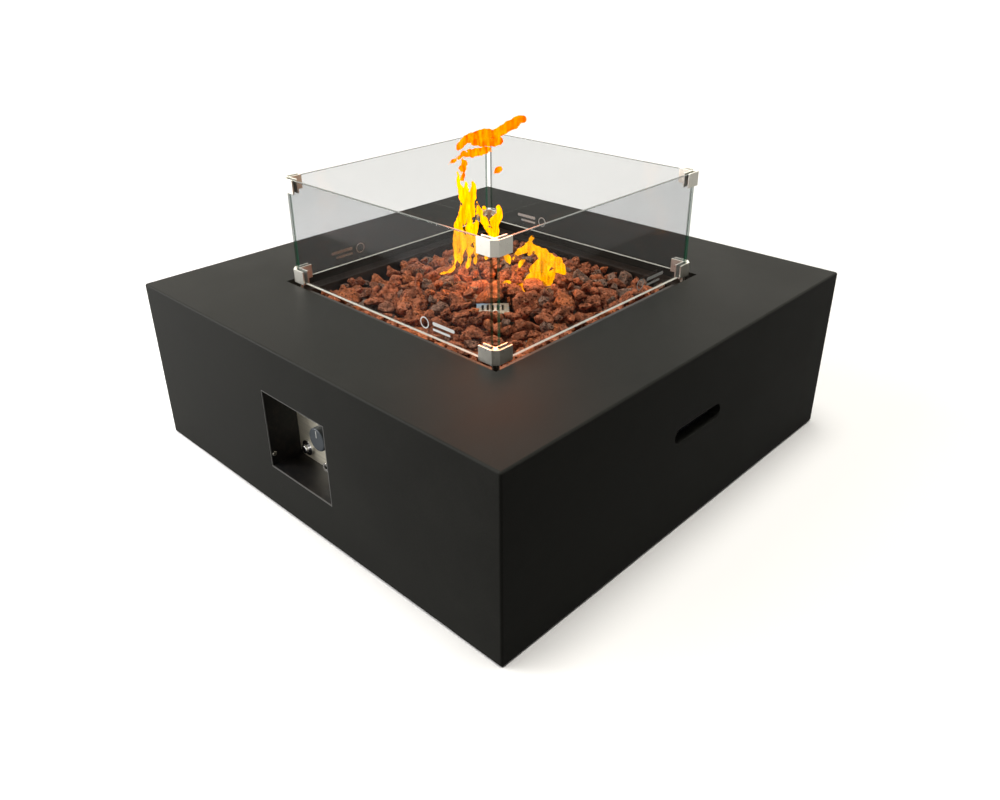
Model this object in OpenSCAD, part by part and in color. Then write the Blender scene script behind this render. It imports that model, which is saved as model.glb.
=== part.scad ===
// Square gas fire-pit table with a glass wind guard.
// Frame: origin at the centre of the base on the ground, +Z up, controls on the -Y face.

/* [Table] */
// Width and depth of the table
table_w = 914; // [800:1:1150]
// Height from the ground to the table top
table_h = 320; // [300:1:420]
// Thickness of the concrete walls
wall_t = 20; // [16:1:30]
// Thickness of the concrete top
top_t = 20; // [16:1:30]
// Radius of the outer edges
edge_r = 4; // [2:0.5:8]
// Thickness of the rubber feet
foot_t = 4; // [3:0.5:8]
// Length of each leg of a rubber foot
foot_l = 100; // [60:1:150]
// Width of a rubber foot
foot_w = 16; // [10:1:16]

/* [Fire opening] */
// Width of the square opening in the top
opening_w = 540; // [500:1:600]
// Depth of the rebate that the pan hangs in
rebate_d = 19.5; // [12:0.5:26]
// Width of the ledge under the pan flange
ledge_w = 24; // [18:1:26]
// Thickness of the ledge
ledge_t = 18; // [12:1:24]
// Gap round the pan flange
flange_gap = 2; // [1:0.5:4]
// Width of the pan flange
flange_w = 28; // [24:1:32]
// Sheet thickness of the pan
pan_t = 1.5; // [1:0.1:3]
// Depth of the pan below its flange
pan_d = 77; // [65:1:90]
// Radius of the pan's drain holes
drain_r = 4; // [2:0.5:6]

/* [Wind guard] */
// Distance from the edge of the opening to the outer face of the glass
glass_in = 11; // [6:0.5:16]
// Height of a glass pane
glass_h = 190; // [150:1:260]
// Thickness of the glass
glass_t = 6; // [5:0.5:8]
// Distance from a pane's end to the outer corner
glass_stop = 10; // [9:0.5:14]
// Length of a clip's arm
clip_arm = 37; // [30:1:50]
// Height of a clip
clip_h = 25; // [20:1:35]
// Plate thickness of a clip
clip_t = 3; // [2:0.5:4]
// Chamfer on a clip's corner
clip_c = 9; // [4:0.5:12]
// Thickness of a soft pad between clip and glass
pad_t = 0.5; // [0.3:0.1:1]
// Height of the clip's top above the glass
clip_over = 2; // [0:0.5:5]
// Height of the post under each lower clip
post_h = 19; // [12:0.5:24]
// Radius of that post
post_r = 6; // [4:0.5:7]

/* [Control recess] */
// Width of the recess in the front wall
recess_w = 172; // [160:1:200]
// Height of the recess
recess_h = 150; // [140:1:165]
// Height of the recess's lower edge above the ground
recess_z = 83; // [60:1:95]
// Depth from the front face to the control panel
recess_d = 60; // [50:1:90]
// Sheet thickness of the control box and panel
sheet_t = 1.5; // [1:0.1:2.5]
// Width of the box's flange and of the lip behind the panel
box_lip = 8; // [6:1:9]
// Height of the screws in the box's sides above the recess's lower edge
side_screw_up = 24; // [12:1:60]
// Distance of those screws from the front face
side_screw_in = 7; // [6:1:14]

/* [Knob and valve] */
// Height of the knob's centre above the recess's lower edge
knob_up = 71; // [62:1:85]
// Radius of the knob
knob_r = 21; // [16:0.5:25]
// Length of the knob
knob_l = 15; // [12:0.5:22]
// Travel of the knob when it is pushed in
knob_push = 4; // [2:0.5:4.5]
// Radius of the valve stem
stem_r = 4; // [3:0.5:5]
// Radius of the valve's barrel
barrel_r = 15; // [14:0.5:18]

/* [Igniter] */
// Sideways place of the igniter
igniter_x = -56; // [-66:1:-48]
// Height of the igniter above the recess's lower edge
igniter_up = 25; // [24:1:34]
// Radius of the push button
button_r = 8; // [6:0.5:9]
// Travel of the push button
button_push = 4; // [2:0.5:5]

/* [Gas inlet] */
// Sideways place of the inlet
inlet_x = 18; // [17:1:20]
// Height of the inlet above the recess's lower edge
inlet_up = 25; // [22:1:27]
// Radius of the inlet's thread
inlet_r = 7.94; // [6:0.01:9]
// Length of the inlet's thread
inlet_l = 14; // [10:1:16]

/* [Burner] */
// Radius of the burner ring
ring_r = 150; // [125:1:180]
// Radius of the burner's tube
tube_r = 9.5; // [8:0.5:12]
// Height of the tube's centre above the pan floor
tube_up = 20.5; // [18:0.5:24]
// Number of gas ports on the ring
port_n = 24; // [12:2:36]
// Radius of a gas port
port_r = 1.25; // [0.8:0.05:2]

/* [Pilot] */
// Distance of the pilot from the centre
pilot_dist = 85; // [78:1:90]
// Length of the pilot guard
pilot_w = 58; // [50:1:66]
// Width of the pilot guard
pilot_d = 38; // [34:1:44]
// Height of the pilot guard above the pan floor
pilot_h = 69.5; // [60:0.5:76]

/* [Hand slots] */
// Length of a hand slot
slot_l = 132; // [100:1:160]
// Height of a hand slot
slot_h = 27; // [22:1:36]
// Distance from the table top to the slot's centre
slot_down = 130; // [100:1:150]

/* [Lava rock] */
// Height of the rock bed above the pan floor at the wall
rock_edge = 60; // [52:1:66]
// Rise of the rock bed in the middle
rock_rise = 12; // [0:1:16]
// Number of stones along one side of the bed
rock_n = 11; // [6:1:12]

/* [Hidden] */
$fn = 48;

fit = 0.05;    // running clearance on a radius
seat = 0.5;    // clearance of a part that drops into its place
cut = 1;       // how far a cutting body runs past a face

// Table
half = table_w / 2;
shell_h = table_h - foot_t;
inner_half = half - wall_t;
ledge_z = table_h - rebate_d;
ledge_hole = opening_w - 2 * ledge_w;
rim_w = opening_w + 2 * ledge_w;
slot_z = table_h - slot_down;

// Pan
flange_top = ledge_z + pan_t;
pan_out = opening_w - 2 * flange_gap;
pan_in = pan_out - 2 * flange_w;
floor_z = flange_top - pan_d;
drain_at = pan_in / 2 - 30;
stub_r = 8;

// Wind guard
guard_w = opening_w - 2 * glass_in;
glass_z = flange_top + post_h + clip_over;
glass_half = guard_w / 2;
glass_l = guard_w - 2 * glass_stop;
clip_half = glass_half + pad_t + clip_t;
clip_deep = glass_t + 2 * pad_t + 2 * clip_t;
clip_low_z = flange_top + post_h;
clip_high_z = glass_z + glass_h + clip_over - clip_h;
screw_at = clip_half - clip_arm * 0.65;
grub_r = 2;
grub_head_r = 3.5;
grub_head_h = 2.5;
post_at = clip_half - clip_deep / 2 - clip_t;

// Control recess
face_y = -half;
panel_y = face_y + recess_d;
recess_mid = recess_z + recess_h / 2;
box_w = recess_w - 2 * seat;
box_h = recess_h - 2 * seat;
box_front = face_y + 0.4;
panel_w = box_w - 2 * sheet_t - 2 * seat;
panel_h = box_h - 2 * sheet_t - 2 * seat;
panel_back = panel_y + sheet_t;
panel_screw_x = panel_w / 2 - box_lip / 2;
panel_screw_z = panel_h / 2 - box_lip / 2;
small_screw_r = 2;
small_head_r = 4;
small_head_h = 2.2;
side_screw_y = face_y + side_screw_in;
side_screw_z = recess_z + side_screw_up;
side_screw_l = 12;

// Valve, from front to back
knob_z = recess_z + knob_up;
knob_back = panel_y - knob_push - 1;
knob_front = knob_back - knob_l;
neck_r = stem_r + 3;
neck_front = panel_y - 4;
nut_flat_r = 11;
shoulder_y = panel_back + 10.5;
plunger_r = barrel_r - 6;
plunger_l = 15;
spring_rest = 13;
bore_end = shoulder_y + plunger_l + spring_rest;
barrel_end = bore_end + 6.5;
block_back = barrel_end - 6;
block_front = block_back - 26;
stem_back = shoulder_y + plunger_l / 2;
stem_front = knob_front + 5;
pilot_port = [-14, 14];
sense_port = [14, 14];

// Igniter, from front to back
igniter_z = recess_z + igniter_up;
igniter_r = button_r + 3;
igniter_lip = 9;
button_out = 12;
collar_r = button_r + 1;
collar_l = 3;
collar_y = panel_y - 4 + igniter_lip;
igniter_rest = 10;
battery_r = 7.1;
battery_l = 50.5;
battery_y = collar_y + collar_l + igniter_rest;
igniter_end = battery_y + battery_l + 4;

// Gas inlet and the pipe up to the valve
inlet_z = recess_z + inlet_up;
inlet_hex = 12.7;
inlet_hex_l = 6;
inlet_front = panel_y - inlet_hex_l - inlet_l;
inlet_back = panel_back + 12.5;
pipe_r = 5;
pipe_bend = 12;
pipe_y = inlet_back + 3 + pipe_bend;
pipe_top = knob_z - 18;

// Hose from the valve to the burner
hose_r = 7;
hose_bend = 60;
hose_start = barrel_end + 12;
hose_low = knob_z - 2 * hose_bend;
stub_z = floor_z - 22;
mixer_top = floor_z - 16;
mixer_l = 46;
orifice_l = 13;
orifice_bottom = mixer_top - mixer_l - orifice_l + 3;
hose_end = orifice_bottom - 12;
hose_nut_l = 14;

// Burner
tube_z = floor_z + pan_t + tube_up;
tube_in = tube_r - 1.2;
hub_r = 25;
hub_l = 26;
bracket_at = [45, 135, 225, 315];
bracket_w = 16;
bracket_l = 30;

// Pilot, in its own frame: x along the guard, y outwards from the centre
pilot_turn = -45;
pilot_pos = [pilot_dist * cos(pilot_turn), pilot_dist * sin(pilot_turn)];
pilot_floor = floor_z + pan_t;
guard_t = 1.2;
guard_lip = 8;

// The three pilot parts stand in a row, this far from the middle one.
pilot_pitch = 14;
function pilot_at(k, z) = [
    pilot_pos[0] + k * pilot_pitch * cos(pilot_turn + 90),
    pilot_pos[1] + k * pilot_pitch * sin(pilot_turn + 90), z
];

// Points that the thin lines pass through, from the controls to the pilot
line_z = floor_z - 11;
line_y = [-215, -190];
line_end = pilot_floor + 5.4;
pilot_route = [
    [pilot_port[0], barrel_end - 8, knob_z + pilot_port[1]], [-14, -330, 168], [-10, -270, 190],
    [0, line_y[0], line_z], [0, line_y[1], line_z], [18, -130, line_z], [44, -84, line_z],
    pilot_at(-1, line_z + 5), pilot_at(-1, line_end)
];
sense_route = [
    [sense_port[0], barrel_end - 8, knob_z + sense_port[1]], [14, -330, 168], [13, -270, 192],
    [8, line_y[0], line_z], [8, line_y[1], line_z], [30, -130, line_z], [56, -76, line_z],
    pilot_at(0, line_z + 5), pilot_at(0, line_end)
];
spark_route = [
    [igniter_x, igniter_end + 0.3, igniter_z], [-55, -300, 110], [-24, -258, 160],
    [17, line_y[0], line_z], [17, line_y[1], line_z], [44, -130, line_z], [68, -68, line_z],
    pilot_at(1, line_z + 5), pilot_at(1, line_end)
];

// Lava rock
rock_half = pan_in / 2 - 2;
rock_top = floor_z + rock_edge;
rock_r = rock_half / rock_n;

function unit(v) = v / norm(v);

// One point of a smooth curve through four neighbouring points.
function curve_at(a, b, c, d, t) =
    0.5 * (2 * b + (c - a) * t + (2 * a - 5 * b + 4 * c - d) * t * t
    + (3 * b - a - 3 * c + d) * t * t * t);

function smooth(p, n) = let (m = len(p) - 1) concat(
    [for (i = [0 : m - 1], k = [0 : n - 1])
        curve_at(p[max(i - 1, 0)], p[i], p[i + 1], p[min(i + 2, m)], k / n)],
    [p[m]]);

// Points of a coil round the Y axis.
function coil(r, y0, y1, turns, steps) = let (m = turns * steps)
    [for (i = [0 : m]) [r * cos(360 * i / steps), y0 + (y1 - y0) * i / m, r * sin(360 * i / steps)]];

// A round section swept along points. "side" is a direction that the path never runs along.
module sweep(path, r, side, n = 8) {
    m = len(path) - 1;
    ring = [for (i = [0 : m]) let (
        t = unit(path[min(i + 1, m)] - path[max(i - 1, 0)]),
        u = unit(cross(side, t)),
        v = cross(t, u)
    ) for (k = [0 : n - 1]) path[i] + r * (cos(360 * k / n) * u + sin(360 * k / n) * v)];
    sides = [for (i = [0 : m - 1], k = [0 : n - 1]) let (j = (k + 1) % n)
        [i * n + k, (i + 1) * n + k, (i + 1) * n + j, i * n + j]];
    caps = [[for (k = [0 : n - 1]) k], [for (k = [0 : n - 1]) m * n + n - 1 - k]];
    polyhedron(points = ring, faces = concat(sides, caps), convexity = 4);
}

// A rod along Y from y0 to y1.
module rod_y(x, z, y0, y1, r) {
    translate([x, y0, z]) rotate([-90, 0, 0]) cylinder(h = y1 - y0, r = r);
}

// A hexagon along Y, "r" from its centre to a corner.
module hex_y(x, z, y0, y1, r) {
    translate([x, y0, z]) rotate([-90, 0, 0]) cylinder(h = y1 - y0, r = r, $fn = 6);
}

module box_at(x0, x1, y0, y1, z0, z1) {
    translate([x0, y0, z0]) cube([x1 - x0, y1 - y0, z1 - z0]);
}

// A centred square slab.
module slab(w, z0, z1) {
    box_at(-w / 2, w / 2, -w / 2, w / 2, z0, z1);
}

// A slot with round ends along Y, cut through a wall across X.
module hand_slot(x0, x1) {
    straight = (slot_l - slot_h) / 2;
    box_at(x0, x1, -straight, straight, slot_z - slot_h / 2, slot_z + slot_h / 2);
    for (s = [-1, 1])
        translate([x0, s * straight, slot_z]) rotate([0, 90, 0])
            cylinder(h = x1 - x0, r = slot_h / 2);
}

// The outer block of the table, with its upright edges and its top edges rounded.
module outer_block() {
    w = table_w - 2 * edge_r;
    slab(w, foot_t, table_h);
    box_at(-half, half, -w / 2, w / 2, foot_t, table_h - edge_r);
    box_at(-w / 2, w / 2, -half, half, foot_t, table_h - edge_r);
    for (a = [0 : 90 : 270]) rotate([0, 0, a]) {
        translate([w / 2, -w / 2, foot_t]) cylinder(h = shell_h - edge_r, r = edge_r);
        translate([w / 2, -w / 2, table_h - edge_r]) sphere(r = edge_r);
        translate([w / 2, -w / 2, table_h - edge_r]) rotate([-90, 0, 0]) cylinder(h = w, r = edge_r);
    }
}

module concrete_shell() {
    color([0.27, 0.27, 0.26]) difference() {
        outer_block();
        difference() {
            slab(2 * inner_half, foot_t - cut, table_h - top_t);
            slab(rim_w, ledge_z - ledge_t, table_h);
        }
        slab(ledge_hole, ledge_z - ledge_t - cut, table_h + cut);
        slab(opening_w, ledge_z, table_h + cut);
        box_at(-recess_w / 2, recess_w / 2, face_y - cut, face_y + wall_t + cut,
            recess_z, recess_z + recess_h);
        hand_slot(inner_half - cut, half + cut);
        hand_slot(-half - cut, -inner_half + cut);
        for (s = [-1, 1]) side_screw_hole(s);
    }
}

module side_screw_hole(s) {
    translate([s * (recess_w / 2 - cut), side_screw_y, side_screw_z]) rotate([0, s * 90, 0])
        cylinder(h = side_screw_l + cut, r = small_screw_r + fit);
}

module foot_pads() {
    edge = half - 2;
    color([0.08, 0.08, 0.08]) for (a = [0 : 90 : 270]) rotate([0, 0, a]) {
        box_at(edge - foot_l, edge, -edge, -edge + foot_w, 0, foot_t);
        box_at(edge - foot_w, edge, -edge, -edge + foot_l, 0, foot_t);
    }
}

module burner_pan() {
    color([0.16, 0.16, 0.16]) difference() {
        union() {
            slab(pan_out, ledge_z, flange_top);
            slab(pan_in + 2 * pan_t, floor_z, flange_top);
        }
        slab(pan_in, floor_z + pan_t, flange_top + cut);
        translate([0, 0, floor_z - cut]) cylinder(h = pan_t + 2 * cut, r = stub_r + seat);
        translate([pilot_pos[0], pilot_pos[1], floor_z - cut])
            cylinder(h = pan_t + 2 * cut, r = 18);
        for (a = [45 : 90 : 315]) rotate([0, 0, a]) translate([drain_at, 0, floor_z - cut])
            cylinder(h = pan_t + 2 * cut, r = drain_r);
        for (a = bracket_at, s = [-1, 1]) rotate([0, 0, a])
            translate([ring_r, s * bracket_l / 3, floor_z - cut])
                cylinder(h = pan_t + 2 * cut, r = small_screw_r + fit);
    }
}

// Height of the bed's surface at a place.
function bed_z(x, y) = rock_top + rock_rise * cos(90 * min(1, norm([x, y]) / rock_half));

// One stone: a squashed, turned lump with a few flat faces.
module stone(x, y, r, turn) {
    translate([x, y, bed_z(x, y) - r * 0.35]) rotate(turn) hull()
        scale([1.15, 0.9, 0.75]) sphere(r = r, $fn = 6);
}

module lava_rock_bed() {
    pitch = 2 * (rock_half - rock_r) / (rock_n - 1);
    jitter = rands(-0.22, 0.22, 2 * rock_n * rock_n, 7);
    grow = rands(0.8, 1.02, rock_n * rock_n, 11);
    turn = rands(0, 360, rock_n * rock_n, 13);
    color([0.48, 0.29, 0.23]) difference() {
        union() {
            intersection() {
                slab(2 * rock_half, floor_z + pan_t, rock_top + rock_rise);
                translate([0, 0, floor_z + pan_t])
                    cylinder(h = rock_edge + rock_rise - pan_t, r1 = 2 * rock_half, r2 = 0.7 * rock_half);
            }
            for (i = [0 : rock_n - 1], k = [0 : rock_n - 1]) {
                j = i * rock_n + k;
                inside = i > 0 && k > 0 && i < rock_n - 1 && k < rock_n - 1 ? pitch : 0;
                x = -rock_half + rock_r + i * pitch + inside * jitter[2 * j];
                y = -rock_half + rock_r + k * pitch + inside * jitter[2 * j + 1];
                stone(x, y, rock_r * grow[j], [turn[j] / 9, turn[j] / 12, turn[j]]);
            }
        }
        burner_room();
    }
}

// Room round the burner and the pilot that the stones leave free.
module burner_room() {
    gap = 3;
    base = floor_z - cut;
    top = tube_z + tube_r + gap - base;
    translate([0, 0, base]) difference() {
        cylinder(h = top, r = ring_r + tube_r + gap);
        translate([0, 0, -cut]) cylinder(h = top + 2 * cut, r = ring_r - tube_r - gap);
    }
    translate([0, 0, base]) cylinder(h = top + gap, r = hub_r + gap);
    box_at(-ring_r, ring_r, -tube_r - gap, tube_r + gap, base, base + top);
    in_pilot() box_at(-pilot_w / 2 - gap, pilot_w / 2 + gap, -pilot_d / 2 - guard_lip - gap,
        pilot_d / 2 + gap, base - pilot_floor, pilot_h + 60);
}

module burner() {
    color([0.62, 0.62, 0.60]) difference() {
        union() {
            translate([0, 0, tube_z]) rotate_extrude() translate([ring_r, 0]) circle(r = tube_r, $fn = 32);
            translate([-ring_r, 0, tube_z]) rotate([0, 90, 0]) cylinder(h = 2 * ring_r, r = tube_r);
            translate([0, 0, tube_z - hub_l / 2]) cylinder(h = hub_l, r = hub_r);
            translate([0, 0, stub_z]) cylinder(h = tube_z - stub_z, r = stub_r);
        }
        translate([0, 0, tube_z]) rotate_extrude() translate([ring_r, 0]) circle(r = tube_in, $fn = 32);
        translate([-ring_r, 0, tube_z]) rotate([0, 90, 0]) cylinder(h = 2 * ring_r, r = tube_in);
        translate([0, 0, tube_z - hub_l / 2 + 1.5]) cylinder(h = hub_l - 3, r = hub_r - 1.5);
        translate([0, 0, stub_z - cut]) cylinder(h = tube_z - stub_z, r = stub_r - 1.5);
        for (a = [0 : 360 / port_n : 359]) rotate([0, 0, a + 180 / port_n])
            translate([ring_r, 0, tube_z]) cylinder(h = tube_r + cut, r = port_r, $fn = 16);
        for (s = [-1, 1], k = [1 : 4])
            translate([s * (hub_r + k * 22), 0, tube_z]) cylinder(h = tube_r + cut, r = port_r, $fn = 16);
    }
}

module burner_brackets() {
    color([0.55, 0.55, 0.54]) for (a = bracket_at) rotate([0, 0, a]) difference() {
        union() {
            box_at(ring_r - bracket_w / 2, ring_r + bracket_w / 2, -bracket_l / 2, bracket_l / 2,
                pilot_floor, pilot_floor + pan_t);
            box_at(ring_r - bracket_w / 2, ring_r + bracket_w / 2, -pan_t, pan_t,
                pilot_floor, tube_z);
        }
        rotate([0, 0, -a]) translate([0, 0, tube_z]) rotate_extrude()
            translate([ring_r, 0]) circle(r = tube_r + fit, $fn = 32);
        box_at(0, 2 * ring_r, -cut - pan_t, cut + pan_t, tube_z - tube_r / 2, tube_z + cut);
        for (s = [-1, 1]) translate([ring_r, s * bracket_l / 3, pilot_floor - cut])
            cylinder(h = pan_t + 2 * cut, r = small_screw_r + fit);
    }
}

module bracket_screws() {
    top = pilot_floor + pan_t;
    color([0.7, 0.7, 0.7]) for (a = bracket_at, s = [-1, 1]) rotate([0, 0, a])
        translate([ring_r, s * bracket_l / 3, 0]) {
            translate([0, 0, top]) cylinder(h = small_head_h, r = small_head_r);
            translate([0, 0, top - 8]) cylinder(h = 8, r = small_screw_r);
        }
}

module burner_locknut() {
    color([0.75, 0.65, 0.35]) difference() {
        translate([0, 0, floor_z - 8]) cylinder(h = 8, r = 15, $fn = 6);
        translate([0, 0, floor_z - 8 - cut]) cylinder(h = 8 + 2 * cut, r = stub_r + fit);
    }
}

module air_mixer() {
    low = mixer_top - mixer_l;
    color([0.66, 0.66, 0.64]) difference() {
        translate([0, 0, low]) cylinder(h = mixer_l, r = 11);
        translate([0, 0, low + mixer_l - 12]) cylinder(h = 12 + cut, r = stub_r + fit);
        translate([0, 0, low + 8]) cylinder(h = mixer_l, r = 6);
        translate([0, 0, low - cut]) cylinder(h = 9 + cut, r = 5 + fit);
        for (a = [0 : 90 : 270]) rotate([0, 0, a]) translate([0, 0, low + 20]) rotate([0, 90, 0])
            cylinder(h = 12, r = 3.5);
    }
}

module orifice() {
    low = mixer_top - mixer_l;
    color([0.80, 0.66, 0.34]) difference() {
        union() {
            translate([0, 0, low - 6]) cylinder(h = 6, r = 10, $fn = 6);
            translate([0, 0, low]) cylinder(h = 7, r = 5);
            translate([0, 0, low - 16]) cylinder(h = 10, r = 6);
        }
        translate([0, 0, low - 16 - cut]) cylinder(h = 20, r = 3);
        translate([0, 0, low]) cylinder(h = 8, r = 0.9);
    }
}

// A quarter bend in the plane X = 0, centred at y, z, from angle a to a + 90.
module bend_x(y, z, a, big, small) {
    translate([0, y, z]) rotate([90, 0, 90]) rotate([0, 0, a])
        rotate_extrude(angle = 90) translate([big, 0]) circle(r = small, $fn = 32);
}

module burner_hose() {
    turn_y = hose_start + 20;
    color([0.72, 0.72, 0.72]) {
        rod_y(0, knob_z, hose_start, turn_y, hose_r);
        bend_x(turn_y, knob_z - hose_bend, 0, hose_bend, hose_r);
        bend_x(turn_y + 2 * hose_bend, knob_z - hose_bend, 180, hose_bend, hose_r);
        rod_y(0, hose_low, turn_y + 2 * hose_bend, -hose_bend, hose_r);
        bend_x(-hose_bend, hose_low + hose_bend, 270, hose_bend, hose_r);
        translate([0, 0, hose_low + hose_bend])
            cylinder(h = hose_end - hose_low - hose_bend, r = hose_r);
    }
}

module hose_nuts() {
    color([0.80, 0.66, 0.34]) {
        difference() {
            hex_y(0, knob_z, hose_start - hose_nut_l + 4, hose_start + 4, 10);
            rod_y(0, knob_z, hose_start - hose_nut_l, hose_start, 6 + fit);
            rod_y(0, knob_z, hose_start - cut, hose_start + 4 + cut, hose_r + fit);
        }
        difference() {
            translate([0, 0, hose_end - 4]) cylinder(h = hose_nut_l, r = 10, $fn = 6);
            translate([0, 0, hose_end]) cylinder(h = hose_nut_l, r = 6 + fit);
            translate([0, 0, hose_end - 4 - cut]) cylinder(h = 4 + 2 * cut, r = hose_r + fit);
        }
    }
}

// Places something in the pilot's own frame.
module in_pilot() {
    translate([pilot_pos[0], pilot_pos[1], pilot_floor]) rotate([0, 0, pilot_turn + 90]) children();
}

module pilot_guard() {
    w = pilot_w / 2;
    d = pilot_d / 2;
    color([0.72, 0.73, 0.75]) in_pilot() difference() {
        union() {
            box_at(-w, w, -d, d, 0, pilot_h);
            box_at(-w, w, -d - guard_lip, -d, pilot_h - guard_t, pilot_h);
            box_at(-w + 8, w - 8, -d - guard_lip, -d, 0, guard_t);
        }
        box_at(-w + guard_t, w - guard_t, -d + guard_t, d - guard_t, -cut, pilot_h - guard_t);
        box_at(-w + 6, w - 6, -d - cut, -d + 2 * guard_t, 10, pilot_h - 26);
        box_at(-w + 6, w - 6, d - 2 * guard_t, d + cut, 10, pilot_h - 26);
        for (k = [-2 : 2]) box_at(k * 9 - 2, k * 9 + 2, -d + 7, d - 7, pilot_h - 2 * guard_t, pilot_h + cut);
        for (k = [-2 : 2], s = [-1, 1]) translate([k * 10, s * d, pilot_h - 13]) rotate([90, 0, 0])
            cylinder(h = 4 * guard_t, r = 3, center = true);
        for (s = [-1, 1]) translate([s * 14, -d - guard_lip / 2, -cut])
            cylinder(h = guard_t + 2 * cut, r = small_screw_r);
    }
}

module pilot_bracket() {
    color([0.6, 0.6, 0.6]) in_pilot() difference() {
        union() {
            box_at(-24, 24, -13, 13, 0, pan_t);
            box_at(-24, 24, 12 - pan_t, 12, 0, 34);
            box_at(-24, 24, -9, 12, 26, 26 + pan_t);
        }
        for (k = [-1 : 1]) translate([k * pilot_pitch, 0, 0]) {
            translate([0, 0, -cut]) cylinder(h = pan_t + 2 * cut, r = 4);
            translate([0, 0, 26 - cut]) cylinder(h = pan_t + 2 * cut, r = 3.5 + fit);
        }
    }
}

module pilot_hood() {
    color([0.65, 0.6, 0.5]) in_pilot() translate([-pilot_pitch, 0, 0]) difference() {
        union() {
            translate([0, 0, 6]) cylinder(h = 36, r = 3.5);
            translate([0, 0, 26 + pan_t]) cylinder(h = 5, r = 5.5, $fn = 6);
            translate([0, 0, 36]) cylinder(h = 12, r = 6);
        }
        translate([0, 0, 6 - cut]) cylinder(h = 34, r = 2 + fit);
        translate([0, -3, 44]) box_at(-2, 2, -6, 6, 0, 10);
    }
}

module thermocouple() {
    color([0.7, 0.6, 0.45]) in_pilot() {
        translate([0, 0, 6]) cylinder(h = 34, r = 3.5);
        translate([0, 0, 40]) cylinder(h = 12, r = 2);
    }
}

module spark_electrode() {
    color([0.92, 0.91, 0.87]) in_pilot() translate([pilot_pitch, 0, 0]) {
        translate([0, 0, 6]) cylinder(h = 38, r = 3.5);
        translate([0, 0, 44]) cylinder(h = 6, r = 1);
        translate([-8, 0, 49]) rotate([0, 90, 0]) cylinder(h = 8.5, r = 1);
    }
}

module pilot_tube() {
    color([0.75, 0.75, 0.75]) sweep(smooth(pilot_route, 3), 2, [1, 0, 0]);
}

module thermocouple_lead() {
    color([0.72, 0.45, 0.3]) sweep(smooth(sense_route, 3), 1.5, [1, 0, 0]);
}

module ignition_lead() {
    color([0.75, 0.3, 0.2]) sweep(smooth(spark_route, 3), 2.5, [1, 0, 0]);
}

module line_clip() {
    low = line_z - 4.5;
    mid = (line_y[0] + line_y[1]) / 2;
    color([0.6, 0.6, 0.6]) difference() {
        union() {
            box_at(-8, 26, mid - 6, mid + 6, low, low + pan_t);
            for (x = [-8, 26 - pan_t]) box_at(x, x + pan_t, mid - 6, mid + 6, low, floor_z);
            for (x = [-20, 26 - pan_t]) box_at(x, x + 12 + pan_t, mid - 6, mid + 6, floor_z - pan_t, floor_z);
        }
        for (x = [-14, 31.5]) translate([x, mid, floor_z - 2 * pan_t])
            cylinder(h = 4 * pan_t, r = small_screw_r);
    }
}

module control_box() {
    w = box_w / 2;
    z0 = recess_mid - box_h / 2;
    z1 = recess_mid + box_h / 2;
    back = panel_back + sheet_t;
    color([0.1, 0.1, 0.1]) difference() {
        union() {
            box_at(-w, w, box_front, back, z0, z1);
            box_at(-w - box_lip, w + box_lip, face_y + wall_t, face_y + wall_t + sheet_t,
                z0 - box_lip, z1 + box_lip);
        }
        box_at(-w + sheet_t, w - sheet_t, box_front - cut, panel_back, z0 + sheet_t, z1 - sheet_t);
        box_at(-w + sheet_t + box_lip, w - sheet_t - box_lip, box_front, back + cut,
            z0 + sheet_t + box_lip, z1 - sheet_t - box_lip);
        for (s = [-1, 1]) translate([s * (w - sheet_t - cut), side_screw_y, side_screw_z])
            rotate([0, s * 90, 0]) cylinder(h = sheet_t + 2 * cut, r = small_screw_r + fit);
        for (x = [-1, 1], z = [-1, 1])
            rod_y(x * panel_screw_x, recess_mid + z * panel_screw_z, panel_back - cut, back + cut,
                small_screw_r + fit);
    }
}

module box_screws() {
    w = box_w / 2 - sheet_t;
    color([0.78, 0.78, 0.78]) for (s = [-1, 1]) translate([s * w, side_screw_y, side_screw_z])
        rotate([0, s * 90, 0]) {
            cylinder(h = side_screw_l, r = small_screw_r);
            translate([0, 0, -small_head_h]) cylinder(h = small_head_h, r = small_head_r);
        }
}

module control_panel() {
    color([0.7, 0.7, 0.7]) difference() {
        box_at(-panel_w / 2, panel_w / 2, panel_y, panel_back,
            recess_mid - panel_h / 2, recess_mid + panel_h / 2);
        rod_y(0, knob_z, panel_y - cut, panel_back + cut, neck_r + fit);
        rod_y(igniter_x, igniter_z, panel_y - cut, panel_back + cut, igniter_r + fit);
        rod_y(inlet_x, inlet_z, panel_y - cut, panel_back + cut, inlet_r + fit);
        for (x = [-1, 1], z = [-1, 1])
            rod_y(x * panel_screw_x, recess_mid + z * panel_screw_z, panel_y - cut, panel_back + cut,
                small_screw_r + fit);
    }
}

module panel_screws() {
    color([0.78, 0.78, 0.78]) for (x = [-panel_screw_x, panel_screw_x], k = [-1, 1]) {
        z = recess_mid + k * panel_screw_z;
        rod_y(x, z, panel_y - small_head_h, panel_y, small_head_r);
        rod_y(x, z, panel_y, panel_back + 6, small_screw_r);
    }
}

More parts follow.
